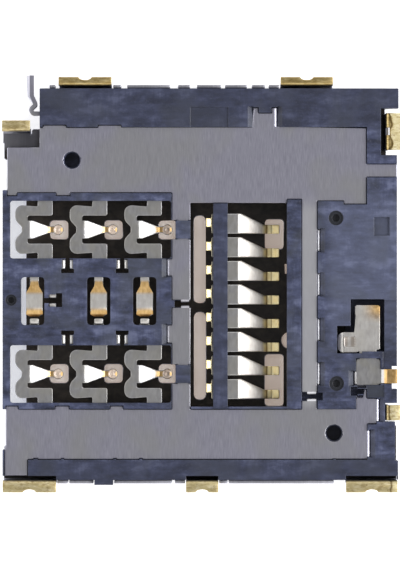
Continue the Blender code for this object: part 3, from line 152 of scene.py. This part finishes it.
def zones(tree, boxes, place=None, ends="SMOOTHSTEP"):
    """A mask on the piece from 0 to 1: the sum of its boxes. A box is a strength times its steps.
    A step (axis, start, end) goes from 0 at start to 1 at end, in millimetres along the axis, or
    away from a point (x, y) seen from above where that stands for the axis."""
    along = add(tree, "SeparateXYZ", {0: place or add(tree, "TexCoord").outputs["Object"]}).outputs
    mask = None
    for strength, *steps in boxes:
        box = strength
        for axis, start, end in steps:
            if isinstance(axis, str):
                way = along[axis]
            else:
                flat = add(tree, "CombineXYZ", {"X": along["X"], "Y": along["Y"]})
                point = (axis[0] * MM, axis[1] * MM, 0.0)
                way = add(tree, "VectorMath", {0: flat, 1: point},
                          operation="DISTANCE").outputs["Value"]
            step = add(tree, "MapRange", {"Value": way, "From Min": start * MM,
                                          "From Max": end * MM}, interpolation_type=ends)
            box = add(tree, "Math", {0: box, 1: step}, operation="MULTIPLY")
        mask = box if mask is None else add(tree, "Math", {0: mask, 1: box}, operation="ADD",
                                            use_clamp=True)
    return mask


# The table: matt white card, fibres 1.1 mm apart. It looks white, since it glows for the eye
# and for mirrors alone. Under the socket its glow is dimmed as painted shade, bluish at the left
# edge and then warm as painted bounced light.
TABLE_HALF, TABLE_DOWN = 3.0, 0.01
CARD_FIBRES = 1.111
UNDER_SOCKET_PAINTED_SHADE = ((1.0, ("X", -9.20, -9.10), ("X", 8.0, 7.9), ("Y", -6.2, -6.1), ("Y", 5.0, 4.9)),)
WARM_SIDE_PAINTED_LIGHT = ((1.0, ("X", -8.1, -7.2)),)
card, tree = new_material("matt_white_card")
fibres = add(tree, "TexNoise", {"Vector": grains(tree, CARD_FIBRES, CARD_FIBRES, CARD_FIBRES),
                                "Scale": 1.0})
paper = add(tree, "ValToRGB", {"Fac": fibres}, stops=((0.3, "f0f0f0"), (0.7, "f6f6f6")))
rays = add(tree, "LightPath").outputs
seen = add(tree, "Math", {0: rays["Is Camera Ray"], 1: rays["Is Glossy Ray"]},
           operation="MAXIMUM")
seen = add(tree, "Math", {0: seen, 1: rays["Is Transmission Ray"]}, operation="MAXIMUM")
# Painted shade and painted bounced light: under the socket the glow is dim, turning warm to the
# right.
painted_shade = add(tree, "ValToRGB", {"Fac": zones(tree, WARM_SIDE_PAINTED_LIGHT, ends="LINEAR")},
             stops=((0.0, "707480"), (1.0, "8c7c70")))
shown = add(tree, "MixRGB", {"Fac": zones(tree, UNDER_SOCKET_PAINTED_SHADE, ends="LINEAR"), "Color1": "c6c6c8",
                             "Color2": painted_shade})
glow = add(tree, "Emission", {"Color": shown, "Strength": seen})
both = add(tree, "AddShader", {0: add(tree, "BsdfDiffuse", {"Color": paper}), 1: glow})
add(tree, "OutputMaterial", {"Surface": both})

table_mesh = bpy.data.meshes.new("table")
corners = [(-TABLE_HALF, -TABLE_HALF, 0), (TABLE_HALF, -TABLE_HALF, 0),
           (TABLE_HALF, TABLE_HALF, 0), (-TABLE_HALF, TABLE_HALF, 0)]
table_mesh.from_pydata(corners, [], [(0, 1, 2, 3)])
table_mesh.materials.append(card)
table = bpy.data.objects.new("table", table_mesh)
table.location.z = -TABLE_DOWN * MM
bpy.context.scene.collection.objects.link(table)

# The moulding: one block of glass-filled liquid crystal polymer, injected round the lead
# frame. It is dyed navy, and its skin shows flow marks, pale fibre ends and a fine matt grain.

# Liquid crystal polymer, moulded: clouds a millimetre or two across, streaks where the melt
# ran, and fibre ends. The real grain is about 0.02 mm and is drawn 0.06 mm to show.
GRIT = 0.06
BLOT_SHARE, FLOW_SHARE = 0.58, 0.16
SKIN_ROUND, SKIN_DEPTH = 0.05, 0.010
NAVY = ((0.40, "1c2136"), (0.47, "2e344d"), (0.53, "3c425e"), (0.61, "5a607d"))
OUTER_BANDS = ((0.5, ("Y", 7.0, 7.5)), (0.5, ("Y", -7.9, -8.3)))
CROSS_BAR = ((0.5, ("X", 0.4, 0.5), ("X", 1.3, 1.2)),)
RIGHT_FIELD = ((0.30, ("X", 5.5, 6.2), ("Y", 5.0, 3.0), ("Y", -4.0, -1.0)),)
# Painted shade: the switch foot's pocket, the sunk faces and the ejector pin dimples are darkened
# where shade falls in them.
FOOT_POCKET_PAINTED_SHADE = ((0.75, ("X", 7.66, 7.72), ("X", 8.46, 8.40), ("Y", -5.30, -5.24),
                ("Y", -4.70, -4.76)),)
SUNK_PAINTED_SHADE = ((0.26, ("Z", 2.245, 2.225), ("Z", 1.98, 2.02)),)
EJECTOR_DIMPLES_PAINTED_SHADE = ((1.0, ((6.21, 3.06), 0.37, 0.31)), (1.0, ((6.24, -4.64), 0.37, 0.31)),
                 (1.0, ((-8.91, -0.76), 0.29, 0.23)))
resin, tree = new_material("navy_liquid_crystal_polymer_moulded")
clouds = add(tree, "TexNoise", {"Vector": grains(tree, 2.6, 1.5, 2.0), "Scale": 1.0,
                                "Detail": 4.0, "Roughness": 0.62, "Distortion": 0.2})
blots = add(tree, "TexNoise", {"Vector": grains(tree, 0.8, 0.4, 0.6, 9.0), "Scale": 1.0,
                               "Detail": 3.0, "Roughness": 0.60, "Distortion": 0.2})
streaks = add(tree, "TexNoise", {"Vector": grains(tree, 1.6, 0.14, 1.0, 7.0), "Scale": 1.0,
                                 "Detail": 3.0, "Roughness": 0.60, "Distortion": 0.3})
runs = add(tree, "TexNoise", {"Vector": grains(tree, 0.14, 1.3, 1.0, 3.0), "Scale": 1.0,
                              "Detail": 3.0, "Roughness": 0.60, "Distortion": 0.3})
faded = add(tree, "TexNoise", {"Vector": grains(tree, 1.9, 2.3, 2.0, 21.0), "Scale": 1.0,
                               "Distortion": 0.5})
grit = add(tree, "TexNoise", {"Vector": grains(tree, GRIT, GRIT, GRIT), "Scale": 1.0})
turned = add(tree, "ValToRGB", {"Fac": clouds}, stops=((0.45, 0.0), (0.55, 1.0)))
flow = add(tree, "MixRGB", {"Fac": turned, "Color1": streaks, "Color2": runs})
mottling = add(tree, "MixRGB", {"Fac": BLOT_SHARE, "Color1": clouds, "Color2": blots})
mottling = add(tree, "MixRGB", {"Fac": FLOW_SHARE, "Color1": mottling, "Color2": flow})
colour = add(tree, "ValToRGB", {"Fac": mottling}, stops=NAVY)
darker = add(tree, "Math", {0: zones(tree, OUTER_BANDS), 1: zones(tree, CROSS_BAR)},
             operation="MAXIMUM")
# Over the navy: pale fibre ends, faded patches, darker bands, a lighter right field, and the
# painted shade in the pocket, on the sunk faces and in the ejector dimples.
for mask, tint in (
        (add(tree, "ValToRGB", {"Fac": grit}, stops=((0.62, 0.0), (0.80, 0.40))), "74778a"),
        (add(tree, "ValToRGB", {"Fac": faded}, stops=((0.46, 0.0), (0.62, 0.5))), "40444f"),
        (darker, "22263a"), (zones(tree, RIGHT_FIELD), "6a7088"),
        (zones(tree, FOOT_POCKET_PAINTED_SHADE), "2c3038"), (zones(tree, SUNK_PAINTED_SHADE), "1f232f"),
        (zones(tree, EJECTOR_DIMPLES_PAINTED_SHADE), "191c26")):
    colour = add(tree, "MixRGB", {"Fac": mask, "Color1": colour, "Color2": tint})
matt = add(tree, "ValToRGB", {"Fac": grit}, stops=((0.3, 0.40), (0.7, 0.60)))
skin = add(tree, "MixRGB", {"Fac": 0.5, "Color1": grit, "Color2": streaks})
edge = add(tree, "Bevel", {"Radius": SKIN_ROUND * MM}, samples=6)
skin = add(tree, "Bump", {"Height": skin, "Distance": SKIN_DEPTH * MM, "Strength": 0.7,
                          "Normal": edge})
polymer = add(tree, "BsdfPrincipled", {"Base Color": colour, "Roughness": matt, "IOR": 1.55,
                                       "Normal": skin})
add(tree, "OutputMaterial", {"Surface": polymer})

moulding = nodes["insulator_moulding"]
moulding.data.materials.clear()
moulding.data.materials.append(resin)

# The floor plates: rolled stainless sheet, moulded flush into the resin and then cut free of
# the lead frame, so they show the mill's grain along Y and bright sheared edges.

# Corners this close in millimetres are one, and faces that turn less than this in degrees are
# one. A stamped edge turns more than 30 degrees and isn't shorter than 0.012 mm.
MERGED, FLAT_TURN = 0.0004, 0.6
STAMPED_TURN, SHORTEST_RIM = 30, 0.012


def rounded_copy(node, width, name, materials, smooth=28, steps=2):
    """A merged copy of a CAD node that stands for it. Each stamped edge gives way to a round
    that starts width millimetres from it on both faces and has so many steps; the last of the
    materials lies on the rounds. Only edges between plain corners, where three edges meet, are
    rounded, since the others would tear. Bends under smooth degrees shade round."""
    mesh = nodes[node].data.copy()
    mesh.materials.clear()
    for material in materials:
        mesh.materials.append(material)
    shape = bmesh.new()
    shape.from_mesh(mesh)
    bmesh.ops.remove_doubles(shape, verts=shape.verts, dist=MERGED * MM)
    bmesh.ops.dissolve_limit(shape, angle_limit=math.radians(FLAT_TURN),
                             use_dissolve_boundaries=False, verts=shape.verts,
                             edges=shape.edges)
    for face in shape.faces:
        face.smooth = True
        face.material_index = 0
    rims = [edge for edge in shape.edges
            if edge.calc_face_angle(0) > math.radians(STAMPED_TURN)
            and edge.calc_length() > SHORTEST_RIM * MM
            and all(len(corner.link_edges) == 3 for corner in edge.verts)]
    bmesh.ops.bevel(shape, geom=rims, offset=width * MM, segments=steps, profile=0.5,
                    affect="EDGES", clamp_overlap=False, material=len(materials) - 1)
    for edge in shape.edges:
        edge.smooth = edge.calc_face_angle(0) < math.radians(smooth)
    shape.to_mesh(mesh)
    shape.free()
    mesh.name = name
    piece = bpy.data.objects.new(name, mesh)
    bpy.context.scene.collection.objects.link(piece)
    piece.modifiers.new("even_shading", "WEIGHTED_NORMAL").keep_sharp = True
    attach(piece, "root")
    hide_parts(node)


# Stainless steel, rolled: a bluish grey with fine lines along Y and soft warmer patches. The
# real lines are about 0.01 mm apart and are drawn 0.035 mm apart to show.
MILL_LINES = (0.035, 0.55, 0.035)
LINE_DEPTH = 0.002
MILL_GREYS = ((0.25, "aeadbe"), (0.5, "bbbaca"), (0.75, "c9c8d6"))
RIGHT_STRIP_PAINTED_HIGHLIGHT = ((0.75, ("X", 4.4, 4.7), ("X", 5.6, 5.4), ("Y", 4.2, 3.2), ("Y", -5.9, -5.4)),)
steel, tree = new_material("stainless_steel_rolled")
lines = add(tree, "TexNoise", {"Vector": grains(tree, *MILL_LINES), "Scale": 1.0,
                               "Detail": 3.0, "Roughness": 0.7})
sheen = add(tree, "TexNoise", {"Vector": grains(tree, 2.3, 3.4, 3.0, 5.0), "Scale": 1.0,
                               "Distortion": 0.3})
warm = add(tree, "ValToRGB", {"Fac": sheen}, stops=((0.46, 0.0), (0.62, 0.5)))
colour = add(tree, "ValToRGB", {"Fac": lines}, stops=MILL_GREYS)
colour = add(tree, "MixRGB", {"Fac": warm, "Color1": colour, "Color2": "bcbcb9"})
# Painted highlight: the plate's right strip is lightened, standing in for the bright box that its
# bent edge mirrors.
colour = add(tree, "MixRGB", {"Fac": zones(tree, RIGHT_STRIP_PAINTED_HIGHLIGHT), "Color1": colour,
                              "Color2": "e6e6ea"})
satin = add(tree, "ValToRGB", {"Fac": lines}, stops=((0.3, 0.34), (0.7, 0.40)))
relief = add(tree, "Bump", {"Height": lines, "Distance": LINE_DEPTH * MM, "Strength": 0.4})
metal = add(tree, "BsdfPrincipled", {"Base Color": colour, "Roughness": satin,
                                     "Metallic": 1.0, "Normal": relief})
add(tree, "OutputMaterial", {"Surface": metal})

PLATE_ROUND = 0.045
for node in ("upper_floor_plate", "lower_floor_plate"):
    rounded_copy(node, PLATE_ROUND, node + "_rolled", [steel])

# The SIM contacts: copper alloy strip stamped and bent in the lead frame, nickel plated all
# over, with a gold flash on the round spoons that touch the card and on the tails' ramps.

EVERYWHERE, NOWHERE = ((1.0,),), ((0.0,),)
RUB_DEPTH = 0.002
SIM_GOLD = ("cda568", "edca90")
SIM_RAMPS = ((1.0, ("Y", -1.60, -1.56), ("Y", -1.06, -1.28)),
             (1.0, ("Y", -0.54, -0.34), ("Y", 0.20, 0.05)))
SIM_SPOONS = ((1.0, ("Z", 1.75, 1.65)),)
SIM_TAILS = ((0.55, ("Y", -2.0, -1.95), ("Y", 0.35, 0.30)),)
# Painted shade: the tails' lower bend is browned where shade falls on it.
SIM_LOWER_BEND_PAINTED_SHADE = ((0.7, ("Y", -1.58, -1.52), ("Y", -1.38, -1.46)),)


def plated_strip(name, gold=SIM_GOLD, gilt=NOWHERE, satin=NOWHERE, painted_shade_and_spot=NOWHERE,
                 roughness=0.34, satin_roughness=0.54):
    """Bronze strip, nickel plated: a pale warm grey with a soft shine. It has its gold, (dark,
    light), in the zones gilt, is pale and satin in the zones satin, and is brown in its last
    zones: painted shade in bends and in the switch's pocket, and one small brown spot. On the
    memory beams the pale colour is a painted highlight. The real rub marks are finer and are
    drawn 0.12 mm apart to show."""
    material, tree = new_material(name)
    rub = add(tree, "TexNoise", {"Vector": grains(tree, 0.12, 0.30, 0.2), "Scale": 1.0,
                                 "Detail": 3.0, "Roughness": 0.6, "Distortion": 0.3})
    haze = add(tree, "TexNoise", {"Vector": grains(tree, 0.6, 0.6, 0.6, 4.0), "Scale": 1.0,
                                  "Distortion": 0.3})
    haze = add(tree, "ValToRGB", {"Fac": haze}, stops=((0.4, 0.0), (0.6, 0.5)))
    nickel = add(tree, "ValToRGB", {"Fac": rub}, stops=((0.3, "bbbabc"), (0.7, "c9c8c9")))
    pale = add(tree, "ValToRGB", {"Fac": rub}, stops=((0.3, "e2dcd4"), (0.7, "f2eee8")))
    gilding = add(tree, "ValToRGB", {"Fac": rub}, stops=((0.3, gold[0]), (0.7, gold[1])))
    matt = zones(tree, satin)
    plate = add(tree, "MixRGB", {"Fac": haze, "Color1": nickel, "Color2": "c2bfb6"})
    plate = add(tree, "MixRGB", {"Fac": matt, "Color1": plate, "Color2": pale})
    plate = add(tree, "MixRGB", {"Fac": zones(tree, gilt), "Color1": plate,
                                 "Color2": gilding})
    # Painted brown shade in bends and pockets, and a small brown spot.
    plate = add(tree, "MixRGB", {"Fac": zones(tree, painted_shade_and_spot), "Color1": plate,
                                 "Color2": "8a6840"}, blend_type="MULTIPLY")
    shine = add(tree, "ValToRGB", {"Fac": rub},
                stops=((0.3, roughness - 0.03), (0.7, roughness + 0.04)))
    dull = add(tree, "ValToRGB", {"Fac": rub},
               stops=((0.3, satin_roughness), (0.7, satin_roughness + 0.06)))
    finish = add(tree, "MixRGB", {"Fac": matt, "Color1": shine, "Color2": dull})
    relief = add(tree, "Bump", {"Height": rub, "Distance": RUB_DEPTH * MM, "Strength": 0.4})
    metal = add(tree, "BsdfPrincipled", {"Base Color": plate, "Roughness": finish,
                                         "Metallic": 1.0, "Normal": relief})
    add(tree, "OutputMaterial", {"Surface": metal})
    return material


CONTACT_ROUND = 0.04
sim_strip = plated_strip("nickel_plated_bronze_gold_flash", SIM_GOLD, SIM_RAMPS + SIM_SPOONS,
                         SIM_TAILS, SIM_LOWER_BEND_PAINTED_SHADE)
sim_rim = plated_strip("nickel_plated_bronze_rolled_edge", roughness=0.44)
for number in range(1, 7):
    node = f"sim_contact_{number}"
    rounded_copy(node, CONTACT_ROUND, node + "_plated", [sim_strip, sim_rim])

# The dished ends of the SIM contacts: a round dimple pressed into each spoon, 0.45 mm across,
# whose raised rim and hollow catch the light. The gold flash over them is thin and pinkish.

DISH = ((0.0, 0.036), (0.03, 0.034), (0.06, 0.024), (0.09, 0.011), (0.115, 0.007),
        (0.14, 0.013), (0.165, 0.028), (0.185, 0.036), (0.20, 0.037), (0.215, 0.030),
        (0.228, 0.012), (0.228, -0.010))
DISH_X = (-6.72, -4.18, -1.64)
DISH_Y = (2.52, -4.20)
SPOON_TOP = 1.610
AROUND = 48

flashed = plated_strip("nickel_plated_bronze_thin_gold_flash", ("dcc4b0", "f8ece0"),
                       EVERYWHERE, EVERYWHERE)


def dish(name, x, y):
    """A surface of revolution: a point at each turn round the axis at x, y for each (radius,
    height) of the profile DISH, from one pole at the axis out to a flat base that closes it."""
    radius, height = np.array(DISH).T[:, :, None]
    turn = np.arange(AROUND) * 2 * math.pi / AROUND
    grid = np.stack(np.broadcast_arrays(x + radius * np.cos(turn), y + radius * np.sin(turn),
                                        SPOON_TOP + height), axis=-1)
    points = np.concatenate([grid[0, :1], grid[1:].reshape(-1, 3)]) * MM
    rings = 1 + np.arange(AROUND * (len(DISH) - 1)).reshape(-1, AROUND)
    turned = np.roll(rings, -1, axis=1)
    top = np.stack([np.zeros_like(rings[0]), rings[0], turned[0]], axis=-1)
    sides = np.stack([rings[:-1], rings[1:], turned[1:], turned[:-1]], axis=-1).reshape(-1, 4)
    base = rings[-1][::-1]
    mesh = bpy.data.meshes.new(name)
    mesh.from_pydata(points.tolist(), [], top.tolist() + sides.tolist() + [base.tolist()])
    mesh.polygons.foreach_set("use_smooth", np.ones(len(mesh.polygons), dtype=bool))
    mesh.materials.append(flashed)
    piece = bpy.data.objects.new(name, mesh)
    bpy.context.scene.collection.objects.link(piece)
    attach(piece, "root")


for row in range(2):
    for column in range(3):
        dish(f"sim_contact_{1 + column + 3 * row}_dish", DISH_X[column], DISH_Y[row])

# The memory card contacts: the same plated strip, bent steeply down into the card slot, with
# gold on the curled tips that touch the card and on the solder tails.

MEMORY_GOLD = ("ffeaae", "fff6cc")
MEMORY_TAILS = ((1.0, ("X", 0.46, 0.40)),)
MEMORY_TIPS = ((1.0, ("X", 2.75, 2.95)),)
# Painted highlight: the steep beams are painted pale, standing in for the bright box that they
# mirror.
MEMORY_BEAMS_PAINTED_HIGHLIGHT = ((1.0, ("X", 1.60, 1.72)),)
# Painted shade: brown bands where the curled tips bend away from the light.
MEMORY_TIP_BENDS_PAINTED_SHADE = ((0.6, ("X", 2.94, 2.98), ("X", 3.06, 3.02)),
                    (0.6, ("X", 3.18, 3.20), ("X", 3.24, 3.22)))
MEMORY_ROUND = 0.05
memory_strip = plated_strip("nickel_plated_bronze_gold_tips", MEMORY_GOLD,
                            MEMORY_TIPS + MEMORY_TAILS, MEMORY_BEAMS_PAINTED_HIGHLIGHT + MEMORY_TAILS,
                            MEMORY_TIP_BENDS_PAINTED_SHADE, satin_roughness=0.50)
for number in range(1, 9):
    node = f"memory_contact_{number}"
    rounded_copy(node, MEMORY_ROUND, node + "_plated", [memory_strip], 50, 3)

# The card detect switch: one more strip of the lead frame, whose finger rides up on the card.
# It is gold at the blade's upper right corner and on the tail, with painted brown shade in the
# finger's pocket and a small brown spot in the gold corner.

SWITCH_GOLD = ("c09a60", "e8c48c")
SWITCH_CORNER_AND_TAIL = ((1.0, ("X", 7.3, 8.2), ("Y", -1.9, -1.2)), (1.0, ("X", 8.40, 8.50)))
SWITCH_BLADE = ((0.45, ("Y", -3.4, -3.2)),)
# Painted shade: brown in the finger's pocket.
SWITCH_POCKET_PAINTED_SHADE = ((0.09, ("X", 6.54, 6.66), ("X", 7.16, 7.02), ("Z", 2.11, 2.09)),
                 (0.36, ("X", 6.54, 6.66), ("X", 6.80, 6.72), ("Z", 2.11, 2.09)),
                 (0.36, ("X", 6.86, 6.96), ("X", 7.16, 7.02), ("Z", 2.11, 2.09)))
SWITCH_SPOT = ((0.3, ((8.08, -1.55), 0.12, 0.06)),)
switch_strip = plated_strip("nickel_plated_bronze_gold_corner", SWITCH_GOLD,
                            SWITCH_CORNER_AND_TAIL, SWITCH_BLADE,
                            SWITCH_POCKET_PAINTED_SHADE + SWITCH_SPOT)
rounded_copy("detect_switch_spring", CONTACT_ROUND, "detect_switch_spring_plated",
             [switch_strip])

# The side leaf: a springy strip of the same stainless sheet as the floor plates, bent and
# pressed into the moulding's corner on edge.

LEAF_ROUND = 0.03
rounded_copy("side_spring_leaf", LEAF_ROUND, "side_spring_leaf_rolled", [steel])

# The cover: one stamped and folded shell of stainless sheet. Its inner face under the contacts
# is painted nearly black as painted shade, and its solder tabs have a gold flash, painted pale
# as a highlight on the lower, left and right tabs, with painted shade in the right tabs' fold.

TAB_LEVEL = 2.14
GILT_TABS = ((1.0, ("Z", TAB_LEVEL - 0.06, TAB_LEVEL)),)
# Painted highlight: the right tabs and the lower and left corner tabs are painted pale. Painted
# shade: the right tabs' fold is painted brown.
RIGHT_TABS_PAINTED_HIGHLIGHT = ((0.9, ("X", 9.02, 9.10)),)
RIGHT_CREASE_PAINTED_SHADE = ((0.8, ("X", 8.90, 8.98), ("X", 9.08, 9.00)),)
LOW_AND_LEFT_TABS_PAINTED_HIGHLIGHT = ((0.60, ("Y", 0, -9.0)), (0.45, ("X", -7.8, -8.0), ("Y", 5.0, 5.5)))
# Painted shade on the cover's inner face, weaker in the left corner.
INNER_FACE_PAINTED_SHADE = ((1.0, ("Z", 0.135, 0.145), ("Z", 0.165, 0.155)),)
CORNER_WEAKER_PAINTED_SHADE = ((0.45, ("X", -7.4, -8.0), ("Y", 6.1, 6.5)),)
FOLD_WANDER = 0.5
RELIEF_DEPTH = 0.004
COVER_ROUND = 0.03


def folded_steel(name, painted_shade_inside):
    """Stainless steel, rolled and folded: a bluish grey with fine lines along Y, drawn 0.045 mm
    apart to show. Its tabs have a rubbed gold flash, painted pale as a highlight on the lower,
    left and right tabs and painted brown as shade at the right tabs' wavy fold, and its inner
    face may carry painted shade, nearly black."""
    material, tree = new_material(name)
    lines = add(tree, "TexNoise", {"Vector": grains(tree, 0.045, 1.6, 0.045), "Scale": 1.0,
                                   "Detail": 3.0, "Roughness": 0.6})
    rub = add(tree, "TexNoise", {"Vector": grains(tree, 0.30, 0.10, 0.2), "Scale": 1.0,
                                 "Detail": 3.0, "Roughness": 0.6, "Distortion": 0.4})
    spots = add(tree, "TexNoise", {"Vector": grains(tree, 0.26, 0.12, 0.2, 8.0), "Scale": 1.0,
                                   "Detail": 3.0, "Roughness": 0.6, "Distortion": 0.4})
    wander = add(tree, "TexNoise", {"Vector": grains(tree, 0.5, 0.5, 0.5, 6.0), "Scale": 1.0,
                                    "Detail": 1.0})
    wander = add(tree, "Math", {0: wander, 1: FOLD_WANDER * MM}, operation="MULTIPLY")
    wavy = add(tree, "VectorMath", {0: add(tree, "TexCoord").outputs["Object"],
                                    1: add(tree, "CombineXYZ", {"X": wander})},
               operation="ADD")
    # Painted highlight on the pale tabs, which are also rougher.
    pale_painted_highlight = add(tree, "Math", {0: zones(tree, RIGHT_TABS_PAINTED_HIGHLIGHT, wavy),
                              1: zones(tree, LOW_AND_LEFT_TABS_PAINTED_HIGHLIGHT)}, operation="MAXIMUM")
    bare = add(tree, "ValToRGB", {"Fac": lines}, stops=((0.3, "b4b4be"), (0.72, "c8c8d0")))
    gold = add(tree, "ValToRGB", {"Fac": rub},
               stops=((0.3, "ae955c"), (0.5, "c8b078"), (0.7, "e0cc96")))
    pale = add(tree, "ValToRGB", {"Fac": rub},
               stops=((0.3, "cbbd90"), (0.5, "dbd0a6"), (0.7, "ece4c8")))
    tarnish = add(tree, "ValToRGB", {"Fac": spots}, stops=((0.52, 0.0), (0.70, 0.6)))
    # Over the gold: the painted pale highlight, painted brown shade at the right fold, and tarnish
    # spots.
    for mask, tint in ((pale_painted_highlight, pale), (zones(tree, RIGHT_CREASE_PAINTED_SHADE, wavy), "5c4a24"),
                       (tarnish, "8a6c3c")):
        gold = add(tree, "MixRGB", {"Fac": mask, "Color1": gold, "Color2": tint})
    colour = add(tree, "MixRGB", {"Fac": zones(tree, GILT_TABS), "Color1": bare,
                                  "Color2": gold})
    metallic = 1.0
    # Painted shade: the inner face is painted nearly black where shade falls inside the socket, a
    # little less in the left corner.
    if painted_shade_inside:
        inner_painted_shade = add(tree, "TexNoise", {"Vector": grains(tree, 0.5, 0.4, 0.5, 2.0), "Scale": 1.0,
                                      "Detail": 3.0, "Roughness": 0.6, "Distortion": 0.5})
        inner_painted_shade = add(tree, "ValToRGB", {"Fac": inner_painted_shade}, stops=((0.35, "1d1816"), (0.65, "3a332d")))
        cover = add(tree, "Math", {0: zones(tree, INNER_FACE_PAINTED_SHADE), 1: zones(tree, CORNER_WEAKER_PAINTED_SHADE)},
                    operation="SUBTRACT", use_clamp=True)
        colour = add(tree, "MixRGB", {"Fac": cover, "Color1": colour, "Color2": inner_painted_shade})
        metallic = add(tree, "Math", {0: 1.0, 1: cover}, operation="SUBTRACT")
    shine = add(tree, "ValToRGB", {"Fac": lines}, stops=((0.3, 0.30), (0.7, 0.42)))
    dull = add(tree, "ValToRGB", {"Fac": lines}, stops=((0.3, 0.50), (0.7, 0.60)))
    finish = add(tree, "MixRGB", {"Fac": pale_painted_highlight, "Color1": shine, "Color2": dull})
    relief = add(tree, "MixRGB", {"Fac": 0.5, "Color1": lines, "Color2": rub})
    relief = add(tree, "Bump", {"Height": relief, "Distance": RELIEF_DEPTH * MM, "Strength": 0.5})
    metal = add(tree, "BsdfPrincipled", {"Base Color": colour, "Roughness": finish,
                                         "Metallic": metallic, "Normal": relief})
    add(tree, "OutputMaterial", {"Surface": metal})
    return material


rounded_copy("cover_shell", COVER_ROUND, "cover_shell_folded",
             [folded_steel("stainless_steel_folded_painted_shade_inside", True),
              folded_steel("stainless_steel_folded_bare_edges", False)])
